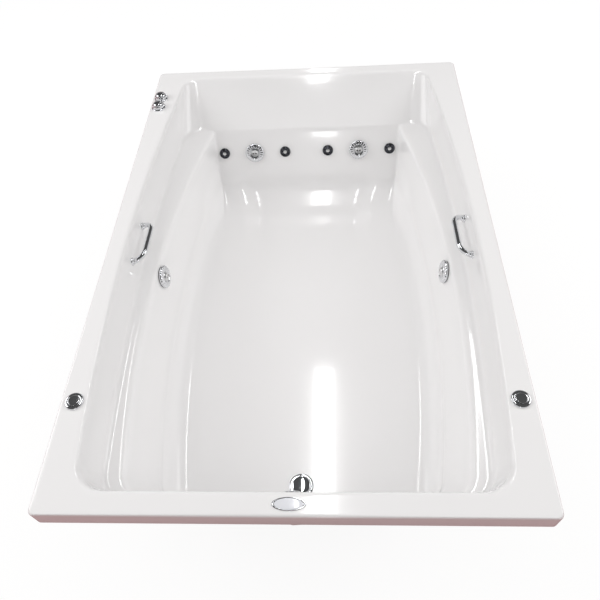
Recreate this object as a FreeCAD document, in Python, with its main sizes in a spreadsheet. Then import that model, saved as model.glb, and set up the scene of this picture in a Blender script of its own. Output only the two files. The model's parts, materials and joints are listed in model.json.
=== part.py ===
# A drop-in jetted bathtub for two people: a moulded shell with grips, water jets and deck
# controls, its waste and overflow, and the pump, pipes and supports that lie under it.
# Frame: millimetres, origin on the floor under the middle of the rim, X to the right,
# Y towards the sloping head end, Z up.
import FreeCAD, Part
import math
import os
import re
from collections import namedtuple

import Sketcher

Vector = FreeCAD.Vector

SIZES = {
    # Rim and moulded wall
    "rim_length": 1828.8,
    "rim_width": 1219.2,
    "rim_height": 535,
    "lip_height": 58,
    "shell_wall": 8,
    "rim_corner_radius": 14,
    "rim_edge_radius": 9,
    "opening_edge_radius": 10,
    # Opening of the basin, by the width of the deck around it. A bow is how far a side curves in
    # over half of the rim's length.
    "side_deck": 59.6,
    "foot_deck": 59.4,
    "head_deck": 52.4,
    "opening_widest": -100,
    "opening_bow": 55.7,
    "opening_foot_radius": 80,
    "opening_head_radius": 60,
    # Armrest ledge, set in from the opening
    "armrest_depth": 150,
    "armrest_crown": 10,
    "armrest_side": 53,
    "armrest_foot": 21,
    "armrest_head": 154,
    "armrest_widest": -200,
    "armrest_bow": 114.5,
    "armrest_foot_radius": 90,
    "armrest_head_radius": 14,
    "upper_lean": 10,
    # Well between the armrests, set in from the opening, and the coves down to the floor
    "well_depth": 340,
    "well_side": 88,
    "well_foot": 86,
    "well_head": 230,
    "well_widest": -120,
    "well_bow": 115.3,
    "well_foot_radius": 70,
    "well_head_radius": 14,
    "basin_depth": 430,
    "side_cove": 45,
    "foot_cove": 40,
    "head_cove": 170,
    "cove_steps": 4,
    # Clearances
    "seat_gap": 0.3,
    "bowed_seat_gap": 0.45,
    "back_gap": 0.8,
    "port_slack": 0.8,
    "running_gap": 0.3,
    "shaft_gap": 0.05,
    "hole_gap": 0.5,
    "overcut": 1,
    # Grips
    "grip_place": -3,
    "grip_depth": 64,
    "grip_span": 160,
    "grip_reach": 44,
    "grip_bend": 34,
    "grip_radius": 7.5,
    "grip_foot_radius": 13,
    "grip_foot_height": 7,
    "grip_tilt": 18,
    "grip_stud_radius": 4,
    "grip_nut_radius": 10,
    "grip_nut_height": 8,
    # Large jets
    "jet_row_depth": 236,
    "jet_from_side": 391,
    "side_jet_place": -38,
    "side_jet_depth": 198,
    "jet_gasket": 2,
    "jet_flange_radius": 37,
    "jet_flange_height": 3,
    "jet_barrel_radius": 28,
    "jet_barrel_length": 34,
    "jet_bore_radius": 24,
    "bezel_radius": 39.5,
    "bezel_height": 9,
    "bezel_edge": 3,
    "bezel_shoulder": 7.7,
    "bezel_skirt": 15,
    "bezel_throat": 12,
    "bezel_notch": 4.5,
    "bezel_notches": 10,
    "ball_radius": 17,
    "ball_flat": 13,
    "nozzle_radius": 7,
    "tee_radius": 36,
    "tee_length": 50,
    "tee_wall": 4,
    "port_radius": 13,
    "port_length": 8,
    "port_bore": 10,
    "air_port_radius": 8,
    "air_port_length": 6,
    # Small jets
    "micro_inner": 90,
    "micro_from_side": 261.6,
    "micro_gasket": 1.5,
    "micro_radius": 22,
    "micro_height": 6,
    "micro_edge": 3.6,
    "micro_floor": 2,
    "micro_barrel_radius": 15,
    "micro_barrel_length": 44,
    "micro_stub_radius": 10,
    "micro_bore_radius": 8,
    "micro_nut_radius": 22,
    "micro_nut_height": 10,
    "spinner_radius": 16.5,
    "spinner_height": 5,
    "spinner_floor": 2,
    "spinner_shaft": 14,
    "spinner_hole_radius": 3,
    "spinner_hole_circle": 10.5,
    "spinner_holes": 3,
    # Deck controls
    "knob_from_side": 35.6,
    "knob_from_head": 182.4,
    "knob_spacing": 61,
    "knob_plate_radius": 27,
    "knob_plate_height": 5,
    "knob_radius": 24,
    "knob_height": 20,
    "knob_stem_radius": 5,
    "knob_stem_length": 15,
    "knob_notch": 3.5,
    "knob_notches": 12,
    "valve_length": 64,
    "control_barrel_radius": 14,
    "control_nut_radius": 19,
    "control_nut_height": 8,
    "button_from_side": 38.6,
    "button_from_foot": 291.4,
    "button_ring_radius": 25,
    "button_ring_height": 6,
    "button_radius": 15,
    "button_stem_radius": 8,
    "button_travel": 3,
    "button_rise": 2,
    "button_thickness": 3,
    "button_barrel_length": 34,
    "button_stem_length": 24,
    # Name plate
    "badge_length": 80,
    "badge_width": 32,
    "badge_height": 2.5,
    "badge_from_foot": 29,
    # Drain, waste and overflow
    "drain_from_foot": 224.4,
    "drain_radius": 38,
    "drain_height": 3.5,
    "drain_edge": 1.4,
    "drain_seat": 1,
    "drain_sleeve_radius": 22,
    "drain_bore_radius": 19,
    "drain_sleeve_length": 28,
    "stopper_radius": 30,
    "stopper_height": 8,
    "stopper_stem_radius": 4,
    "stopper_stem_length": 24,
    "guide_radius": 7,
    "guide_height": 10,
    "guide_arm": 4,
    "shoe_radius": 29,
    "shoe_depth": 48,
    "shoe_wall": 4,
    "arm_bore": 13,
    "arm_length": 30,
    "arm_rise": 1.5,
    "waste_radius": 19.05,
    "waste_bore": 16.5,
    "waste_tail": 46,
    "overflow_depth": 105,
    "overflow_set_back": 28,
    "overflow_drop": 14,
    "overflow_bend": 30,
    "overflow_foot": 87,
    "overflow_slip": 9,
    "overflow_hole": 18,
    "overflow_radius": 36,
    "overflow_height": 4,
    "overflow_knob_radius": 28,
    "overflow_knob_height": 15,
    "overflow_shaft_radius": 5,
    "overflow_shaft_length": 18,
    "overflow_notch": 5,
    "overflow_notches": 8,
    "elbow_radius": 23,
    "elbow_length": 34,
    "elbow_stub": 32,
    # Suction fitting
    "suction_place": -220,
    "suction_depth": 270,
    "suction_radius": 49,
    "suction_flange": 3,
    "suction_barrel": 28,
    "suction_cover_radius": 50,
    "suction_cover_height": 12,
    "suction_cover_top": 42,
    "suction_cover_wall": 3,
    "suction_slot_radius": 3,
    "suction_slot_circle": 28,
    "suction_slots": 12,
    "suction_tee_radius": 36,
    "suction_tee_length": 46,
    "suction_pipe_radius": 21,
    # Pipes
    "water_pipe_radius": 24,
    "air_pipe_radius": 11,
    "pipe_wall": 2.5,
    "water_bend": 60,
    "air_bend": 30,
    "suction_bend": 55,
    "pipe_end": 34,
    "suction_lane": 89,
    "suction_height": 130,
    # Pump
    "pump_place": -190,
    "pump_height": 130,
    "volute_radius": 85,
    "volute_width": 55,
    "volute_wall": 8,
    "chamber_radius": 62,
    "inlet_length": 22,
    "outlet_offset": 48,
    "outlet_radius": 26,
    "outlet_bore": 20,
    "impeller_radius": 55,
    "impeller_width": 24,
    "impeller_vane": 4,
    "impeller_vanes": 6,
    "impeller_hub": 14,
    "impeller_gap": 1.2,
    "shaft_radius": 8,
    "seal_plate_width": 8,
    "motor_radius": 72,
    "motor_length": 190,
    "motor_wall": 6,
    "rotor_radius": 40,
    "rotor_length": 110,
    "fan_radius": 58,
    "fan_hub": 29,
    "fan_width": 10,
    "fan_cover_length": 38,
    "fan_cover_wall": 3,
    "fan_cover_bevel": 6,
    "vent_circle": 41,
    "vent_radius": 6,
    "cover_vents": 14,
    "motor_rib_width": 5,
    "motor_ribs": 16,
    "motor_rib_height": 6,
    # Control box
    "box_length": 110,
    "box_width": 68,
    "box_height": 38,
    "box_wall": 3,
    "box_place": 40,
    "box_shift": 14,
    "gland_radius": 10,
    "gland_bore": 5,
    "gland_length": 24,
    "gland_nut_length": 10,
    "gland_bevel": 2,
    # Supports
    "board_thickness": 18,
    "board_width": 620,
    "board_from_foot": 314.4,
    "board_from_head": 484.4,
    "runner_place": 250,
    "runner_width": 60,
    "runner_from_foot": 274.4,
    "runner_from_head": 24.4,
    "pump_board": 12,
    "pump_board_width": 150,
    "saddle_length": 120,
    "saddle_width": 110,
}

document = FreeCAD.newDocument("Bathtub")
sheet = document.addObject("Spreadsheet::Sheet", "Sizes")
for row, (name, value) in enumerate(SIZES.items(), start=1):
    sheet.set(f"A{row}", str(value))
    sheet.setAlias(f"A{row}", name)
document.recompute()

PARTS = []
# Shares of a cap's radius and height, from the end of its upright edge to its crown.
DOME = ((1, 0.45), (0.84, 0.78), (0.5, 0.95), (0, 1))
# Edges this close to a plane lie in it.
IN_PLANE = 0.1


# ---------------------------------------------------------------- formulas and placements

def bound(formula):
    """A formula in size names, pointed at the sheet's cells."""
    def cell(word):
        return f"Sizes.{word[0]}" if word[0] in SIZES else word[0]

    return re.sub("[a-z][a-z_]+", cell, formula)


def size(formula):
    """The value of a formula in size names."""
    return float(sheet.evalExpression(formula))


def keep(thing, label, place=None):
    """Count an object as a sub-part under its label, at its place."""
    thing.Label = label
    if place is not None:
        thing.Placement = place
    PARTS.append(thing)
    return thing


def facing(origin, outward, upward):
    """A placement whose Z points outward and whose Y leans as near to upward as it can."""
    across = upward.cross(outward)
    return FreeCAD.Placement(origin, FreeCAD.Rotation(across, upward, outward, "ZXY"))


def standing(x, y, z):
    return FreeCAD.Placement(Vector(x, y, z), FreeCAD.Rotation())


def moved(place, x, y, z):
    """The same placement, moved along its own axes."""
    return place.multiply(standing(x, y, z))


# ---------------------------------------------------------------- sketches and features

def new_body(name):
    return document.addObject("PartDesign::Body", name)


def new_sketch(body, role, offset=None):
    """A sketch on one of the body's own origin planes, set off along that plane's normal."""
    sketch = body.newObject("Sketcher::SketchObject", "sketch")
    plane = next(item for item in body.Origin.OriginFeatures if item.Role == role)
    sketch.AttachmentSupport = (plane, [""])
    sketch.MapMode = "FlatFace"
    if offset is not None:
        sketch.setExpression("AttachmentOffset.Base.z", bound(offset))
    return sketch


def pin_down(sketch, kind, where, formula):
    """A dimension of the sketch that follows the sheet."""
    index = sketch.addConstraint(Sketcher.Constraint(kind, *where, size(formula)))
    sketch.setExpression(f"Constraints[{index}]", bound(formula))


def polygon(body, role, corners, offset=None):
    """A closed outline of straight edges, from pairs of formulas."""
    sketch = new_sketch(body, role, offset)
    points = [Vector(size(across), size(up), 0) for across, up in corners]
    following = points[1:] + points[:1]
    sketch.addGeometry([Part.LineSegment(start, end) for start, end in zip(points, following)], False)
    for index, (across, up) in enumerate(corners):
        joined = (index + 1) % len(corners)
        sketch.addConstraint(Sketcher.Constraint("Coincident", index, 2, joined, 1))
        pin_down(sketch, "DistanceX", (-1, 1, index, 1), across)
        pin_down(sketch, "DistanceY", (-1, 1, index, 1), up)
    return sketch


def rectangle(body, role, left, right, low, high, offset=None):
    return polygon(body, role, [(left, low), (right, low), (right, high), (left, high)], offset)


def circle(body, role, across, up, radius, offset=None):
    sketch = new_sketch(body, role, offset)
    centre = Vector(size(across), size(up), 0)
    sketch.addGeometry([Part.Circle(centre, Vector(0, 0, 1), size(radius))], False)
    pin_down(sketch, "Radius", (0,), radius)
    pin_down(sketch, "DistanceX", (-1, 1, 0, 3), across)
    pin_down(sketch, "DistanceY", (-1, 1, 0, 3), up)
    return sketch


def revolved(body, corners, kind="Revolution"):
    """A turned solid, or a turned cut, about the body's Z axis, from (radius, height) pairs."""
    outline = polygon(body, "XZ_Plane", corners)
    feature = body.newObject(f"PartDesign::{kind}", kind.lower())
    feature.Profile = outline
    feature.ReferenceAxis = (outline, ["V_Axis"])
    feature.Angle = 360
    return feature


def padded(body, outline, length, backwards=False):
    feature = body.newObject("PartDesign::Pad", "pad")
    feature.Profile = outline
    feature.setExpression("Length", bound(length))
    feature.Reversed = backwards
    return feature


def pocketed(body, outline, length=None, backwards=False):
    """A cut of the given length, or one that runs right through both ways."""
    feature = body.newObject("PartDesign::Pocket", "pocket")
    feature.Profile = outline
    if length is None:
        feature.Type = "ThroughAll"
        feature.SideType = "Symmetric"
    else:
        feature.setExpression("Length", bound(length))
        feature.Reversed = backwards
    return feature


def repeated(body, feature, count):
    """The feature repeated in a ring about the body's Z axis."""
    ring = body.newObject("PartDesign::PolarPattern", "ring")
    ring.Originals = [feature]
    ring.Axis = (next(item for item in body.Origin.OriginFeatures if item.Role == "Z_Axis"), [""])
    ring.Angle = 360
    ring.setExpression("Occurrences", bound(count))
    body.Tip = ring


def turned(name, corners):
    body = new_body(name)
    revolved(body, corners)
    return body


def domed(radius, base, height):
    """Corners of a cap's profile above its base."""
    return [(f"{radius} * {across}", f"{base} + {height} * {up}") for across, up in DOME]


def notched(body, notch, circle_radius, count):
    """Finger notches around a rim."""
    repeated(body, pocketed(body, circle(body, "XY_Plane", circle_radius, "0", notch)), count)


def primitive(kind, name, **formulas):
    """A plain solid whose properties follow the sheet."""
    thing = document.addObject(f"Part::{kind}", name)
    for prop, formula in formulas.items():
        thing.setExpression(prop, bound(formula))
    return thing


def boolean(kind, name, base, tool):
    result = document.addObject(f"Part::{kind}", name)
    result.Base = base
    result.Tool = tool
    return result


def grouped(label, bodies):
    """Identical pieces that share one node, each a solid of its own."""
    group = document.addObject("Part::Compound", label)
    group.Links = bodies
    return keep(group, label)


def placed(body, place):
    body.Placement = place
    return body


# ---------------------------------------------------------------- the shape of the basin

Level = namedtuple("Level", "depth half widest bow foot head foot_radius head_radius")



def bow_radius(name):
    """Radius of a side that curves in by this size over half of the rim's length."""
    return size("rim_length") ** 2 / (8 * size(name))


WALL = size("shell_wall")
GAP = size("seat_gap")
WALL_BACK = "(-shell_wall - back_gap)"
OPENING = Level(0, size("rim_width / 2 - side_deck"), size("opening_widest"), bow_radius("opening_bow"),
                size("foot_deck - rim_length / 2"), size("rim_length / 2 - head_deck"),
                size("opening_foot_radius"), size("opening_head_radius"))
ARMREST = Level(size("armrest_depth"), OPENING.half - size("armrest_side"), size("armrest_widest"),
                bow_radius("armrest_bow"), OPENING.foot + size("armrest_foot"),
                OPENING.head - size("armrest_head"), size("armrest_foot_radius"),
                size("armrest_head_radius"))
WELL = Level(size("well_depth"), OPENING.half - size("well_side"), size("well_widest"),
             bow_radius("well_bow"), OPENING.foot + size("well_foot"), OPENING.head - size("well_head"),
             size("well_foot_radius"), size("well_head_radius"))


def upper_wall_foot():
    """The outline where the upper wall meets the armrests, on the slopes of both end walls."""
    share = 1 - size("armrest_crown") / ARMREST.depth
    return OPENING._replace(
        depth=ARMREST.depth * share, half=OPENING.half - size("upper_lean"),
        foot=OPENING.foot + (ARMREST.foot - OPENING.foot) * share,
        head=OPENING.head + (ARMREST.head - OPENING.head) * share,
        foot_radius=ARMREST.foot_radius, head_radius=ARMREST.foot_radius)


def cove_levels():
    """The outlines that round the well's walls into the floor."""
    levels = []
    steps = int(size("cove_steps"))
    for step in range(1, steps + 1):
        turn = math.pi / 2 * step / steps
        inward = 1 - math.cos(turn)
        side = size("side_cove") * inward
        levels.append(WELL._replace(
            depth=WELL.depth + (size("basin_depth") - WELL.depth) * math.sin(turn),
            half=WELL.half - side, foot=WELL.foot + size("foot_cove") * inward,
            head=WELL.head - size("head_cove") * inward,
            foot_radius=WELL.foot_radius - side, head_radius=WELL.head_radius + side))
    return levels


UPPER = upper_wall_foot()
COVES = cove_levels()


def between(upper, lower, depth):
    """How far down from one level to the next a depth lies, from 0 to 1."""
    return (depth - upper.depth) / (lower.depth - upper.depth)


def wall_level(upper, lower, depth):
    """The outline of the wall between two levels, at any depth."""
    share = between(upper, lower, depth)
    return Level(*[start + (stop - start) * share for start, stop in zip(upper, lower)])


def grown(level, drop=0):
    """The level's outline on the outside of the wall."""
    return level._replace(depth=level.depth + drop, half=level.half + WALL, bow=level.bow + WALL,
                          foot=level.foot - WALL, head=level.head + WALL,
                          foot_radius=level.foot_radius + WALL, head_radius=level.head_radius + WALL)


def rounded_corner(level, height, end, radius, sign):
    """Start, middle and end of the arc that joins an end of the outline to its right side."""
    bow_centre = Vector(level.half - level.bow, level.widest, height)
    across = end - sign * radius - level.widest
    centre = bow_centre + Vector(math.sqrt((level.bow - radius) ** 2 - across ** 2), across, 0)
    to_side = (centre - bow_centre).normalize()
    to_end = Vector(0, sign, 0)
    middle = centre + (to_side + to_end).normalize() * radius
    return centre + to_end * radius, middle, centre + to_side * radius


def outline(level):
    """A closed outline with straight ends, bowed sides and round corners."""
    height = size("rim_height") - level.depth
    foot = rounded_corner(level, height, level.foot, level.foot_radius, -1)
    head = rounded_corner(level, height, level.head, level.head_radius, 1)
    side = Vector(level.half, level.widest, height)

    def mirrored(points):
        return [Vector(-point.x, point.y, point.z) for point in reversed(points)]

    runs = [foot, (foot[2], side, head[2]), tuple(reversed(head))]
    arcs = [Part.Arc(*run) for run in runs]
    mirror_arcs = [Part.Arc(*mirrored(run)) for run in reversed(runs)]
    head_line = Part.LineSegment(head[0], mirrored([head[0]])[0])
    foot_line = Part.LineSegment(mirrored([foot[0]])[0], foot[0])
    return Part.Wire([curve.toShape() for curve in [foot_line, *arcs, head_line, *mirror_arcs]])


def end_wall(upper, lower, depth, x, end):
    """The placement of a fitting on a foot or head wall, facing into the basin."""
    share = between(upper, lower, depth)
    start = getattr(upper, end)
    stop = getattr(lower, end)
    point = Vector(x, start + (stop - start) * share, size("rim_height") - depth)
    up = Vector(0, start - stop, lower.depth - upper.depth).normalize()
    across = Vector(-1 if end == "head" else 1, 0, 0)
    return facing(point, up.cross(across), up)


def side_point(upper, lower, depth, y):
    """A point of the right-hand side wall."""
    share = between(upper, lower, depth)
    halves = [level.half - level.bow + math.sqrt(level.bow ** 2 - (y - level.widest) ** 2)
              for level in (upper, lower)]
    return Vector(halves[0] + (halves[1] - halves[0]) * share, y, size("rim_height") - depth)


def side_wall(upper, lower, depth, y, spread, side):
    """The placement of a fitting on a side wall: side is 1 for the right and -1 for the left."""
    low = side_point(upper, lower, depth, y - spread)
    high = side_point(upper, lower, depth, y + spread)
    rise = side_point(upper, lower, upper.depth, y) - side_point(upper, lower, lower.depth, y)
    up = rise.normalize()
    inward = up.cross(high - low).normalize()
    point = (low + high) / 2 + inward * size("bowed_seat_gap")
    return facing(*[Vector(side * item.x, item.y, item.z) for item in (point, inward, up)])


# Where each fitting sits on the walls and on the deck.
JET_X = size("rim_width / 2 - jet_from_side")
OUTER_X = size("rim_width / 2 - micro_from_side")
JET_PLACES = {
    "back_left": end_wall(ARMREST, WELL, size("jet_row_depth"), -JET_X, "head"),
    "back_right": end_wall(ARMREST, WELL, size("jet_row_depth"), JET_X, "head"),
    "side_left": side_wall(ARMREST, WELL, size("side_jet_depth"), size("side_jet_place"),
                           size("jet_flange_radius"), -1),
    "side_right": side_wall(ARMREST, WELL, size("side_jet_depth"), size("side_jet_place"),
                            size("jet_flange_radius"), 1),
}
MICRO_PLACES = {
    name: end_wall(ARMREST, WELL, size("jet_row_depth"), x, "head")
    for name, x in (("outer_left", -OUTER_X), ("inner_left", -size("micro_inner")),
                    ("inner_right", size("micro_inner")), ("outer_right", OUTER_X))
}
KNOB_X = size("knob_from_side - rim_width / 2")
KNOB_Y = size("rim_length / 2 - knob_from_head")
DECK = size("rim_height")
KNOB_PLACES = {
    "air_rear": standing(KNOB_X, KNOB_Y, DECK),
    "air_front": standing(KNOB_X, KNOB_Y - size("knob_spacing"), DECK),
}
BUTTON_PLACES = {
    name: standing(side * size("rim_width / 2 - button_from_side"),
                   size("button_from_foot - rim_length / 2"), DECK)
    for name, side in (("left", -1), ("right", 1))
}
DRAIN_PLACE = standing(0, size("drain_from_foot - rim_length / 2"), size("rim_height - basin_depth"))
OVERFLOW_PLACE = end_wall(OPENING, UPPER, size("overflow_depth"), 0, "foot")
SUCTION_PLACE = end_wall(ARMREST, WELL, size("suction_depth"), size("suction_place"), "foot")
GRIP_PLACES = {}
GRIP_FEET = []
for grip_side, side in (("left", -1), ("right", 1)):
    wall = side_wall(OPENING, UPPER, size("grip_depth"), size("grip_place"), size("grip_span / 2"), side)
    GRIP_PLACES[grip_side] = wall
    GRIP_FEET += [moved(wall, size("grip_span / 2") * end, 0, 0) for end in (-1, 1)]


# ---------------------------------------------------------------- the moulded shell

def rim_block():
    """The deck and its turned-down lip, hollow underneath."""
    length = size("rim_length")
    width = size("rim_width")
    lip = size("lip_height")
    block = Part.makeBox(width, length, lip, Vector(-width / 2, -length / 2, DECK - lip))
    uprights = [edge for edge in block.Edges if edge.Vertexes[0].X == edge.Vertexes[1].X
                and edge.Vertexes[0].Y == edge.Vertexes[1].Y]
    block = block.makeFillet(size("rim_corner_radius"), uprights)
    top_edges = [edge for edge in block.Edges if edge.BoundBox.ZMin > DECK - IN_PLANE]
    block = block.makeFillet(size("rim_edge_radius"), top_edges)
    hollow = Part.makeBox(width - 2 * WALL, length - 2 * WALL, lip - WALL,
                          Vector(WALL - width / 2, WALL - length / 2, DECK - lip))
    return block.cut(hollow)


def wall_hole(place, radius):
    """A cylinder that goes right through the wall at a fitting."""
    reach = 3 * WALL
    hole = Part.makeCylinder(radius, 2 * reach, Vector(0, 0, -reach))
    hole.Placement = place
    return hole


def tub_shell():
    inner = [OPENING._replace(depth=-WALL), OPENING, UPPER, ARMREST, WELL, *COVES]
    outer = [grown(wall_level(OPENING, UPPER, WALL / 2)),
             grown(wall_level(OPENING, UPPER, UPPER.depth + WALL)),
             grown(wall_level(ARMREST, WELL, ARMREST.depth + WALL)), grown(WELL)]
    outer += [grown(level, WALL * math.sin(math.pi / 2 * step / len(COVES)))
              for step, level in enumerate(COVES, start=1)]
    cavity = Part.makeLoft([outline(level) for level in inner], True, True)
    basin = Part.makeLoft([outline(level) for level in outer], True, True)
    shell = rim_block().fuse(basin).cut(cavity)
    brink = FreeCAD.BoundBox(-OPENING.half, OPENING.foot, DECK, OPENING.half, OPENING.head, DECK)
    brink.enlarge(IN_PLANE)
    brink_edges = [edge for edge in shell.Edges if brink.isInside(edge.BoundBox)]
    shell = shell.makeFillet(size("opening_edge_radius"), brink_edges)
    holes = [wall_hole(place, size("jet_barrel_radius + hole_gap")) for place in JET_PLACES.values()]
    holes += [wall_hole(place, size("micro_barrel_radius + hole_gap")) for place in MICRO_PLACES.values()]
    holes += [wall_hole(place, size("control_barrel_radius + hole_gap"))
              for place in [*KNOB_PLACES.values(), *BUTTON_PLACES.values()]]
    holes += [wall_hole(place, size("grip_stud_radius + hole_gap")) for place in GRIP_FEET]
    holes.append(wall_hole(DRAIN_PLACE, size("drain_sleeve_radius + hole_gap")))
    holes.append(wall_hole(OVERFLOW_PLACE, size("overflow_hole")))
    holes.append(wall_hole(SUCTION_PLACE, size("suction_barrel + hole_gap")))
    feature = document.addObject("Part::Feature", "tub_shell")
    feature.Shape = shell.cut(holes)
    keep(feature, "tub_shell", standing(0, 0, 0))


def name_badge():
    """A bare oval plate on the foot deck."""
    plate = primitive("Cylinder", "badge_blank", Radius="badge_width / 2", Height="badge_height")
    document.recompute()
    stretch = FreeCAD.Matrix()
    stretch.scale(Vector(size("badge_length / badge_width"), 1, 1))
    oval = document.addObject("Part::Feature", "name_badge")
    oval.Shape = plate.Shape.transformGeometry(stretch)
    keep(oval, "name_badge", standing(0, size("badge_from_foot - rim_length / 2"), DECK))


# ---------------------------------------------------------------- grips

def grip_path(body):
    """A straight bar between two legs, joined by tangent bends."""
    sketch = new_sketch(body, "XY_Plane")
    half = size("grip_span / 2")
    reach = size("grip_reach")
    bend = size("grip_bend")
    up = Vector(0, 0, 1)
    left_bend = Part.Circle(Vector(bend - half, reach - bend, 0), up, bend)
    right_bend = Part.Circle(Vector(half - bend, reach - bend, 0), up, bend)
    sketch.addGeometry([
        Part.LineSegment(Vector(-half, 0, 0), Vector(-half, reach - bend, 0)),
        Part.ArcOfCircle(left_bend, math.pi / 2, math.pi),
        Part.LineSegment(Vector(bend - half, reach, 0), Vector(half - bend, reach, 0)),
        Part.ArcOfCircle(right_bend, 0, math.pi / 2),
        Part.LineSegment(Vector(half, reach - bend, 0), Vector(half, 0, 0)),
    ], False)
    for first, end, second, start in ((0, 2, 1, 2), (1, 1, 2, 1), (2, 2, 3, 2), (3, 1, 4, 1)):
        sketch.addConstraint(Sketcher.Constraint("Tangent", first, end, second, start))
    for rule in (("Equal", 1, 3), ("Vertical", 0), ("Vertical", 4), ("Horizontal", 2),
                 ("PointOnObject", 0, 1, -1), ("PointOnObject", 4, 2, -1)):
        sketch.addConstraint(Sketcher.Constraint(*rule))
    pin_down(sketch, "Radius", (1,), "grip_bend")
    pin_down(sketch, "DistanceX", (-1, 1, 0, 1), "-grip_span / 2")
    pin_down(sketch, "DistanceX", (-1, 1, 4, 2), "grip_span / 2")
    pin_down(sketch, "DistanceY", (-1, 1, 2, 1), "grip_reach")
    return sketch


def grip(name, wall):
    """A bent bar on two feet that are cut flush with the leaning wall."""
    body = new_body(name)
    path = grip_path(body)
    section = circle(body, "XZ_Plane", "-grip_span / 2", "0", "grip_radius")
    bar = body.newObject("PartDesign::AdditivePipe", "bar")
    bar.Profile = section
    bar.Spine = (path, [])
    for foot in ("-grip_span / 2", "grip_span / 2"):
        padded(body, circle(body, "XZ_Plane", foot, "0", "grip_foot_radius", "-grip_foot_height"),
               "2 * grip_foot_height")
    slope = "2 * grip_foot_radius * {}(grip_tilt)"
    along = slope.format("sin")
    upward = slope.format("cos")
    behind = "3 * grip_foot_height"
    pocketed(body, polygon(body, "YZ_Plane", [
        (along, f"-{upward}"), (f"-{along}", upward),
        (f"-{along} - {behind}", upward), (f"{along} - {behind}", f"-{upward}")]))
    tilt = FreeCAD.Placement(Vector(0, 0, 0), FreeCAD.Rotation(Vector(1, 0, 0), 90 - size("grip_tilt")))
    keep(body, name, wall.multiply(tilt))


def grip_fasteners():
    studs = []
    nuts = []
    for place in GRIP_FEET:
        studs.append(placed(turned("stud", [
            ("0", "-shell_wall - grip_nut_height - grip_stud_radius"),
            ("grip_stud_radius", "-shell_wall - grip_nut_height - grip_stud_radius"),
            ("grip_stud_radius", "0"), ("0", "0")]), place))
        nut = new_body("nut")
        hexagon = [(f"grip_nut_radius * cos({angle})", f"grip_nut_radius * sin({angle})")
                   for angle in range(0, 360, 60)]
        padded(nut, polygon(nut, "XY_Plane", hexagon, WALL_BACK), "grip_nut_height", True)
        pocketed(nut, circle(nut, "XY_Plane", "0", "0", "grip_stud_radius + shaft_gap"))
        nuts.append(placed(nut, place))
    grouped("grip_studs", studs)
    grouped("grip_nuts", nuts)


# ---------------------------------------------------------------- large jets

FLANGE_TOP = "(jet_gasket + jet_flange_height)"
BEZEL_BASE = "(jet_gasket + jet_flange_height + running_gap)"
TEE_BACK = "(-shell_wall - tee_length)"
TEE_MIDDLE = "(-shell_wall - tee_length / 2)"
# The side jets sit close under the armrests, so their tees are turned over: air port down.
UNDERSIDE_UP = FreeCAD.Placement(Vector(0, 0, 0), FreeCAD.Rotation(Vector(0, 0, 1), 180))
TEE_PLACES = {name: place.multiply(UNDERSIDE_UP) if name.startswith("side") else place
              for name, place in JET_PLACES.items()}
WATER_LANE = size("shell_wall + tee_length + port_length + seat_gap + water_pipe_radius")
AIR_LANE = size("tee_radius + air_port_length + seat_gap + air_pipe_radius")


def jet_housing(place):
    """The flange and threaded barrel that clamp a jet to the wall."""
    return placed(turned("housing", [
        ("jet_bore_radius", "-jet_barrel_length"), ("jet_barrel_radius", "-jet_barrel_length"),
        ("jet_barrel_radius", "jet_gasket"), ("jet_flange_radius", "jet_gasket"),
        ("jet_flange_radius", FLANGE_TOP), ("jet_bore_radius", FLANGE_TOP)]), place)


def jet_bezel(name, place):
    """The turning face ring, with finger notches and a ball socket."""
    body = turned(name, [
        ("bezel_throat", f"{BEZEL_BASE} - bezel_skirt"),
        ("jet_bore_radius - running_gap", f"{BEZEL_BASE} - bezel_skirt"),
        ("jet_bore_radius - running_gap", BEZEL_BASE), ("bezel_radius", BEZEL_BASE),
        ("bezel_radius", f"{BEZEL_BASE} + bezel_edge"),
        ("(bezel_radius + ball_radius) / 2", f"{BEZEL_BASE} + bezel_shoulder"),
        ("ball_radius", f"{BEZEL_BASE} + bezel_height"),
        ("bezel_throat", f"{BEZEL_BASE} + bezel_height")])
    socket = body.newObject("PartDesign::SubtractiveSphere", "socket")
    socket.setExpression("Radius", bound("ball_radius + running_gap"))
    socket.setExpression("Placement.Base.z", bound(BEZEL_BASE))
    notched(body, "bezel_notch", "bezel_radius + bezel_notch / 3", "bezel_notches")
    keep(body, name, place)


def jet_nozzle(name, place):
    """The ball that aims the stream."""
    ball = primitive("Sphere", f"{name}_ball", Radius="ball_radius",
                     Angle1="-asin(ball_flat / ball_radius)", Angle2="asin(ball_flat / ball_radius)")
    bore = primitive("Cylinder", f"{name}_bore", Radius="nozzle_radius", Height="2 * ball_radius")
    bore.setExpression("Placement.Base.z", bound("-ball_radius"))
    keep(boolean("Cut", name, ball, bore), name, moved(place, 0, 0, size(BEZEL_BASE)))


def jet_tee(place):
    """The body behind the wall, with a water port at its back and an air port across."""
    body = turned("tee", [
        ("jet_barrel_radius + shaft_gap", WALL_BACK), ("tee_radius", WALL_BACK),
        ("tee_radius", TEE_BACK), ("port_radius", TEE_BACK),
        ("port_radius", f"{TEE_BACK} - port_length"), ("port_bore", f"{TEE_BACK} - port_length"),
        ("port_bore", f"{TEE_BACK} + tee_wall"), ("jet_bore_radius", f"{TEE_BACK} + tee_wall"),
        ("jet_bore_radius", "-jet_barrel_length - tee_wall"),
        ("jet_barrel_radius + shaft_gap", "-jet_barrel_length - tee_wall")])
    stub = circle(body, "XZ_Plane", "0", TEE_MIDDLE, "air_port_radius", "-tee_radius + tee_wall / 2")
    padded(body, stub, "air_port_length + tee_wall / 2", True)
    return placed(body, place)


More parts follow.
